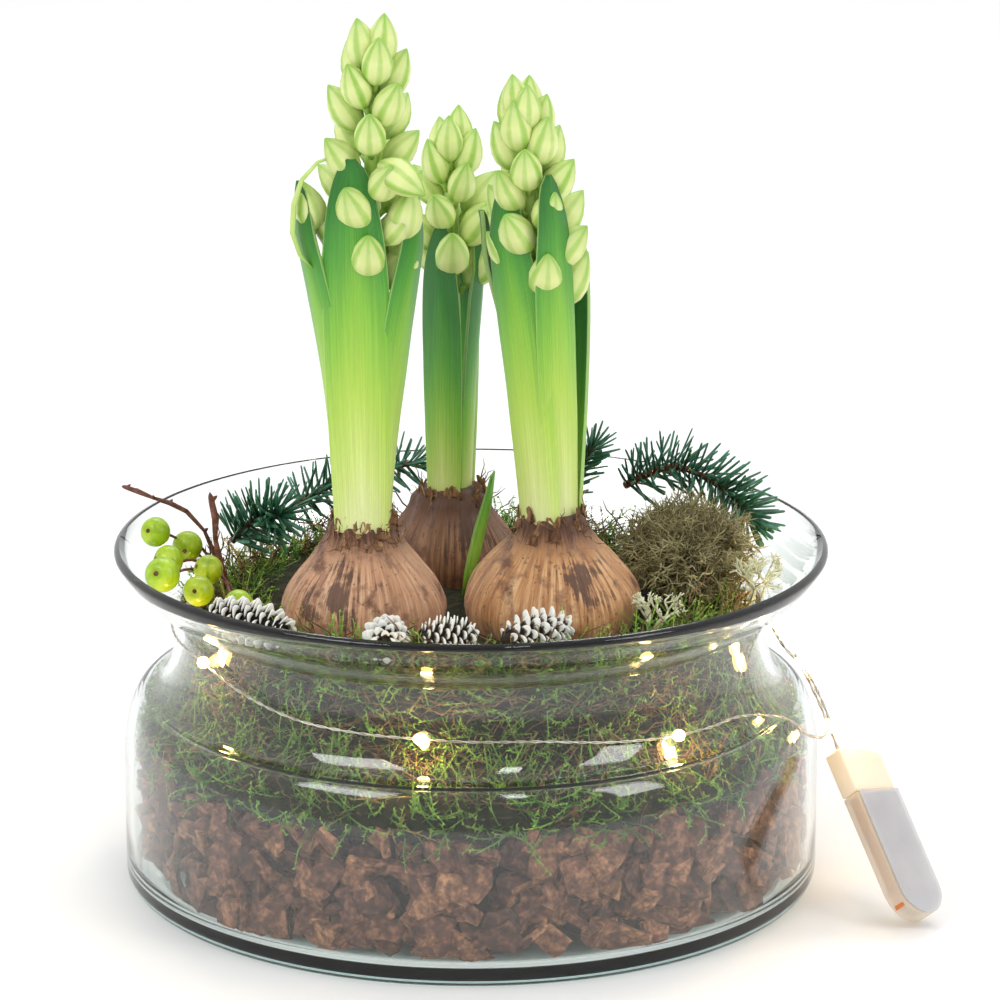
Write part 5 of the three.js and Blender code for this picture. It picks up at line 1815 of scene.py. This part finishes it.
@dataclass
class BatteryCase:
    """The flat case of the light string, which stands on its round foot and leans on its wire."""

    foot: Point = (161.8, -66.0, 4.3)
    up: Point = (-0.354, 0.559, 0.75)
    across: Point = (0.681, 0.703, -0.203)
    length: float = 67.0
    width: float = 22.4
    depth: float = 7.6
    wall: float = 0.8
    cap: float = 17.0

    def seat(self) -> Matrix:
        """The case's own place: X across, Y deep, Z from its foot to its cap."""
        up = Vector(self.up).normalized()
        deep = up.cross(Vector(self.across)).normalized()
        side = deep.cross(up).normalized()
        turn = Matrix((side, deep, up)).transposed().to_4x4()
        return Matrix.Translation(Vector(self.foot) * MM) @ turn

    def slab(self, name: str, width: float, low: float, high: float, depth: float, round_foot: bool,
             bevel: float = 0.7) -> bpy.types.Object:
        """Shapes a slab of the case, with a round foot if asked, and bevels its edges.

        Args:
            name: The slab's name.
            width: How wide it is, in mm.
            low: Where its foot is.
            high: Where its top is.
            depth: How thick it is.
            round_foot: Whether its foot is a half round.
            bevel: How wide its bevels are.

        Returns:
            The slab in the case's own place, still in mm.
        """
        piece = primitive(Primitive.DISC, name, vertices=48, radius=width / 2, fill_type="NGON")
        half = width / 2
        with editing(piece) as shape:
            bpy.ops.mesh.select_all(action="SELECT")
            for vertex in shape.verts:
                x, y = vertex.co.x, vertex.co.y
                if y > 1e-4:
                    vertex.co = (math.copysign(half, x) if abs(x) > 1e-4 else 0.0, high - low - half, 0)
                elif not round_foot:
                    vertex.co = (x / max(abs(x), abs(y)) * half, -half if abs(y) >= abs(x) else y / abs(x) * half, 0)
            bmesh.update_edit_mesh(piece.data)
            bpy.ops.mesh.remove_doubles(threshold=0.001)
            bpy.ops.mesh.select_all(action="SELECT")
            bpy.ops.mesh.extrude_region_move(TRANSFORM_OT_translate={"value": (0, 0, depth)})
            bpy.ops.mesh.select_all(action="SELECT")
            bpy.ops.mesh.normals_make_consistent(inside=False)
        reshape(piece, lambda p: (p.x, -(p.z - depth / 2), p.y + low + half))
        modify(piece, "BEVEL", width=bevel, segments=3, limit_method="ANGLE", angle_limit=math.radians(50))
        return piece

    def place(self, piece: bpy.types.Object, finish: Finish, slot: str, *nodes: str) -> bpy.types.Object:
        """Puts a slab in its place on the row and gives it its finish."""
        seat = self.seat()
        with editing(piece):
            bpy.ops.mesh.select_all(action="SELECT")
            bpy.ops.mesh.normals_make_consistent(inside=False)
        reshape(piece, lambda p: seat @ (p * MM))
        smooth(piece, 35)
        piece.data.materials.append(finish.material())
        return declare(piece, slot, *nodes)

    def cell(self, name: str, height: float) -> bpy.types.Object:
        """Shapes a coin cell: a rod with a stepped face and a rolled rim."""
        piece = primitive(Primitive.ROD, name, vertices=48, radius=10.0, depth=3.2)
        with editing(piece):
            pick_faces(piece, lambda face: face.normal.z > 0.9)
            bpy.ops.mesh.inset(thickness=1.2, depth=0)
            bpy.ops.mesh.inset(thickness=0.4, depth=-0.5)
        modify(piece, "BEVEL", width=0.35, segments=2, limit_method="ANGLE", angle_limit=math.radians(50))
        reshape(piece, lambda p: (p.x, -p.z + 0.6, p.y + height))
        return piece

    def build(self) -> list[bpy.types.Object]:
        """Makes the tray, cover, cap, cells and contact strip.

        Returns:
            The pieces of the case.
        """
        seam = self.length - self.cap - 0.4
        tray = self.slab("battery_tray", self.width, 0, seam, self.depth, True)
        with editing(tray):
            pick_faces(tray, lambda face: face.normal.y < -0.9 and face.calc_area() > 200)
            bpy.ops.mesh.inset(thickness=self.wall + 0.2, depth=0)
            bpy.ops.mesh.extrude_region_move(TRANSFORM_OT_translate={"value": (0, self.depth - 1.2, 0)})
        cover = self.slab("battery_lid", self.width, 0, seam, self.wall, True, 0.3)
        with editing(cover):
            pick_faces(cover, lambda face: face.normal.y < -0.9 and face.calc_area() > 200)
            bpy.ops.mesh.inset(thickness=1.5, depth=0)
            bpy.ops.mesh.inset(thickness=0.3, depth=-0.15)
        shift = (self.depth + self.wall) / 2 + 0.4
        reshape(cover, lambda p: (p.x, p.y - shift, p.z))
        cap = self.slab("battery_cap_block", self.width, self.length - self.cap, self.length, self.depth, False)
        half = self.width / 2
        reshape(cap, lambda p: (p.x, p.y, p.z - (0.38 * max(0.0, p.x - 0.35 * half) if p.z > self.length - 4 else 0)))
        strip = primitive(Primitive.BLOCK, "battery_strip", size=1.0)
        with editing(strip):
            bpy.ops.mesh.select_all(action="SELECT")
            bpy.ops.transform.resize(value=(14.4, 0.4, 38))
            pick_faces(strip, lambda face: abs(face.normal.y) > 0.9)
            bpy.ops.mesh.inset(thickness=1.6, depth=0)
        reshape(strip, lambda p: (p.x, p.y - 2.2, p.z + 27))
        rail = primitive(Primitive.BLOCK, "battery_rail", size=1.0)
        with editing(rail):
            bpy.ops.mesh.select_all(action="SELECT")
            bpy.ops.transform.resize(value=(0.5, 4.2, 44))
            bpy.ops.mesh.bevel(offset=0.15, segments=2)
        reshape(rail, lambda p: (p.x - half + 1.5, p.y, p.z + 26.5))
        return [
            self.place(tray, CASE_PLASTIC, "frosted_plastic", "battery_case"),
            self.place(cover, COVER_PLASTIC, "frosted_plastic", "battery_cover"),
            self.place(cap, CAP_PLASTIC, "frosted_plastic", "battery_cap"),
            self.place(self.cell("battery_cell_low", 11.6), CELL, "cell_steel", "battery_cell_lower"),
            self.place(self.cell("battery_cell_high", 32.4), CELL, "cell_steel", "battery_cell_upper"),
            self.place(joined("battery_strip_copper", [strip, rail]), COPPER, "copper_strip", "contact_strip"),
        ]


# ---- Studio -------------------------------------------------------------------------------------


@dataclass(frozen=True)
class Softbox:
    """A soft lamp: where it hangs and its size in metres, and its power in watts."""

    name: str
    place: Point
    wide: float
    high: float
    power: float


@dataclass(frozen=True)
class PaleFloor(Finish):
    """A sheet of matt white card that curves out of sight, with the faintest tooth."""

    def dress(self, tree: bpy.types.NodeTree, shader: bpy.types.Node) -> None:
        """Keeps it nearly one white."""
        place = add(tree, "TexCoord").outputs["Object"]
        tooth = add(tree, "TexNoise", {"Vector": place, "Scale": 6.0, "Detail": 2.0}).outputs[0]
        tone = add(tree, "ValToRGB", {"Fac": tooth}, stops=[(0.3, "#f2f2f2"), (0.7, "#f5f5f5")]).outputs[0]
        tree.links.new(tone, shader.inputs["Base Color"])
        shader.inputs["Specular IOR Level"].default_value = 0.2


@dataclass
class Studio:
    """The camera, the white floor and the soft light."""

    eye: Point = (0.0, -1.801, 0.6458)
    pitch: float = 15.64
    lens: float = 185.0
    shift: float = 0.029
    softboxes: Sequence[Softbox] = (
        Softbox("key_left", (-1.3, -1.1, 1.7), 1.1, 0.8, 15.0),
        Softbox("fill_right", (1.5, -0.9, 1.3), 0.6, 1.0, 9.0),
        Softbox("top_back", (0.1, 1.2, 1.9), 1.4, 0.5, 12.0),
        Softbox("window_front", (0.45, -1.4, 1.9), 0.25, 0.5, 3.0),
    )

    def camera(self) -> None:
        """Sets the camera up in front and above."""
        data = bpy.data.cameras.new("camera")
        data.lens, data.sensor_width, data.shift_x = self.lens, 36.0, self.shift
        data.clip_start, data.clip_end = 0.1, 50.0
        viewer = bpy.data.objects.new("camera", data)
        viewer.location = self.eye
        viewer.rotation_euler = (math.radians(90 - self.pitch), 0, 0)
        bpy.context.scene.collection.objects.link(viewer)
        bpy.context.scene.camera = viewer

    def lights(self) -> None:
        """Hangs the soft lamps, all turned to the bowl, in a white room."""
        for box in self.softboxes:
            data = bpy.data.lights.new(box.name, "AREA")
            data.shape, data.size, data.size_y, data.energy = "RECTANGLE", box.wide, box.high, box.power
            lamp = bpy.data.objects.new(box.name, data)
            lamp.location = box.place
            lamp.rotation_euler = (Vector((0, 0, 0.12)) - Vector(box.place)).to_track_quat("-Z", "Y").to_euler()
            bpy.context.scene.collection.objects.link(lamp)
        world = bpy.data.worlds.new("white_room")
        bpy.context.scene.world = world
        world.use_nodes = True
        tree = world.node_tree
        way = add(tree, "TexCoord").outputs["Generated"]
        front = add(tree, "SeparateXYZ", {0: way}).outputs[1]
        tone = add(tree, "MapRange", {"Value": front, 1: -0.9, 2: 0.2, 3: 0.55, 4: 1.0}).outputs[0]
        tree.links.new(tone, tree.nodes["Background"].inputs["Strength"])
        tree.nodes["Background"].inputs["Color"].default_value = linear("#ffffff")

    def floor(self) -> None:
        """Lays the white floor."""
        floor = primitive(Primitive.SHEET, "floor_card", size=14.0)
        with editing(floor):
            bpy.ops.mesh.select_all(action="SELECT")
            bpy.ops.mesh.subdivide(number_cuts=6)
        floor.data.materials.append(PaleFloor("card_matt_white", 0.9).material())

    def view(self) -> None:
        """Keeps the picture's whites as the lamps make them."""
        scene = bpy.context.scene
        scene.view_settings.view_transform = "Standard"
        scene.view_settings.look = "None"


def main() -> None:
    """Builds the camera and the cord first, then everything else."""
    logging.basicConfig(level=logging.INFO, format="%(name)s: %(message)s")
    studio = Studio()
    studio.camera()
    string, case = LightString(), BatteryCase()
    wire, lamps = string.build()
    case.build()
    path = [tuple(p * MM) for p in string.centreline()]
    bowl = Bowl()
    bowl.build()
    BarkBed(bowl).build()
    MossBed(bowl).build()
    for plant in HYACINTHS:
        plant.build()
    CurledPetal(HYACINTHS[0].plant).build()
    SideShoot().build()
    for sprig in FIR_TIPS:
        sprig.build()
    Berries().build()
    for cone in CONES:
        cone.build()
    LichenTangle().build()
    PaleLichen("front", (64, -52, 109), 17, 2).build()
    PaleLichen("side", (103, -24, 112), 19, 6).build()
    studio.lights()
    studio.floor()
    studio.view()
    bpy.context.view_layer.update()


if __name__ == "__main__":
    main()
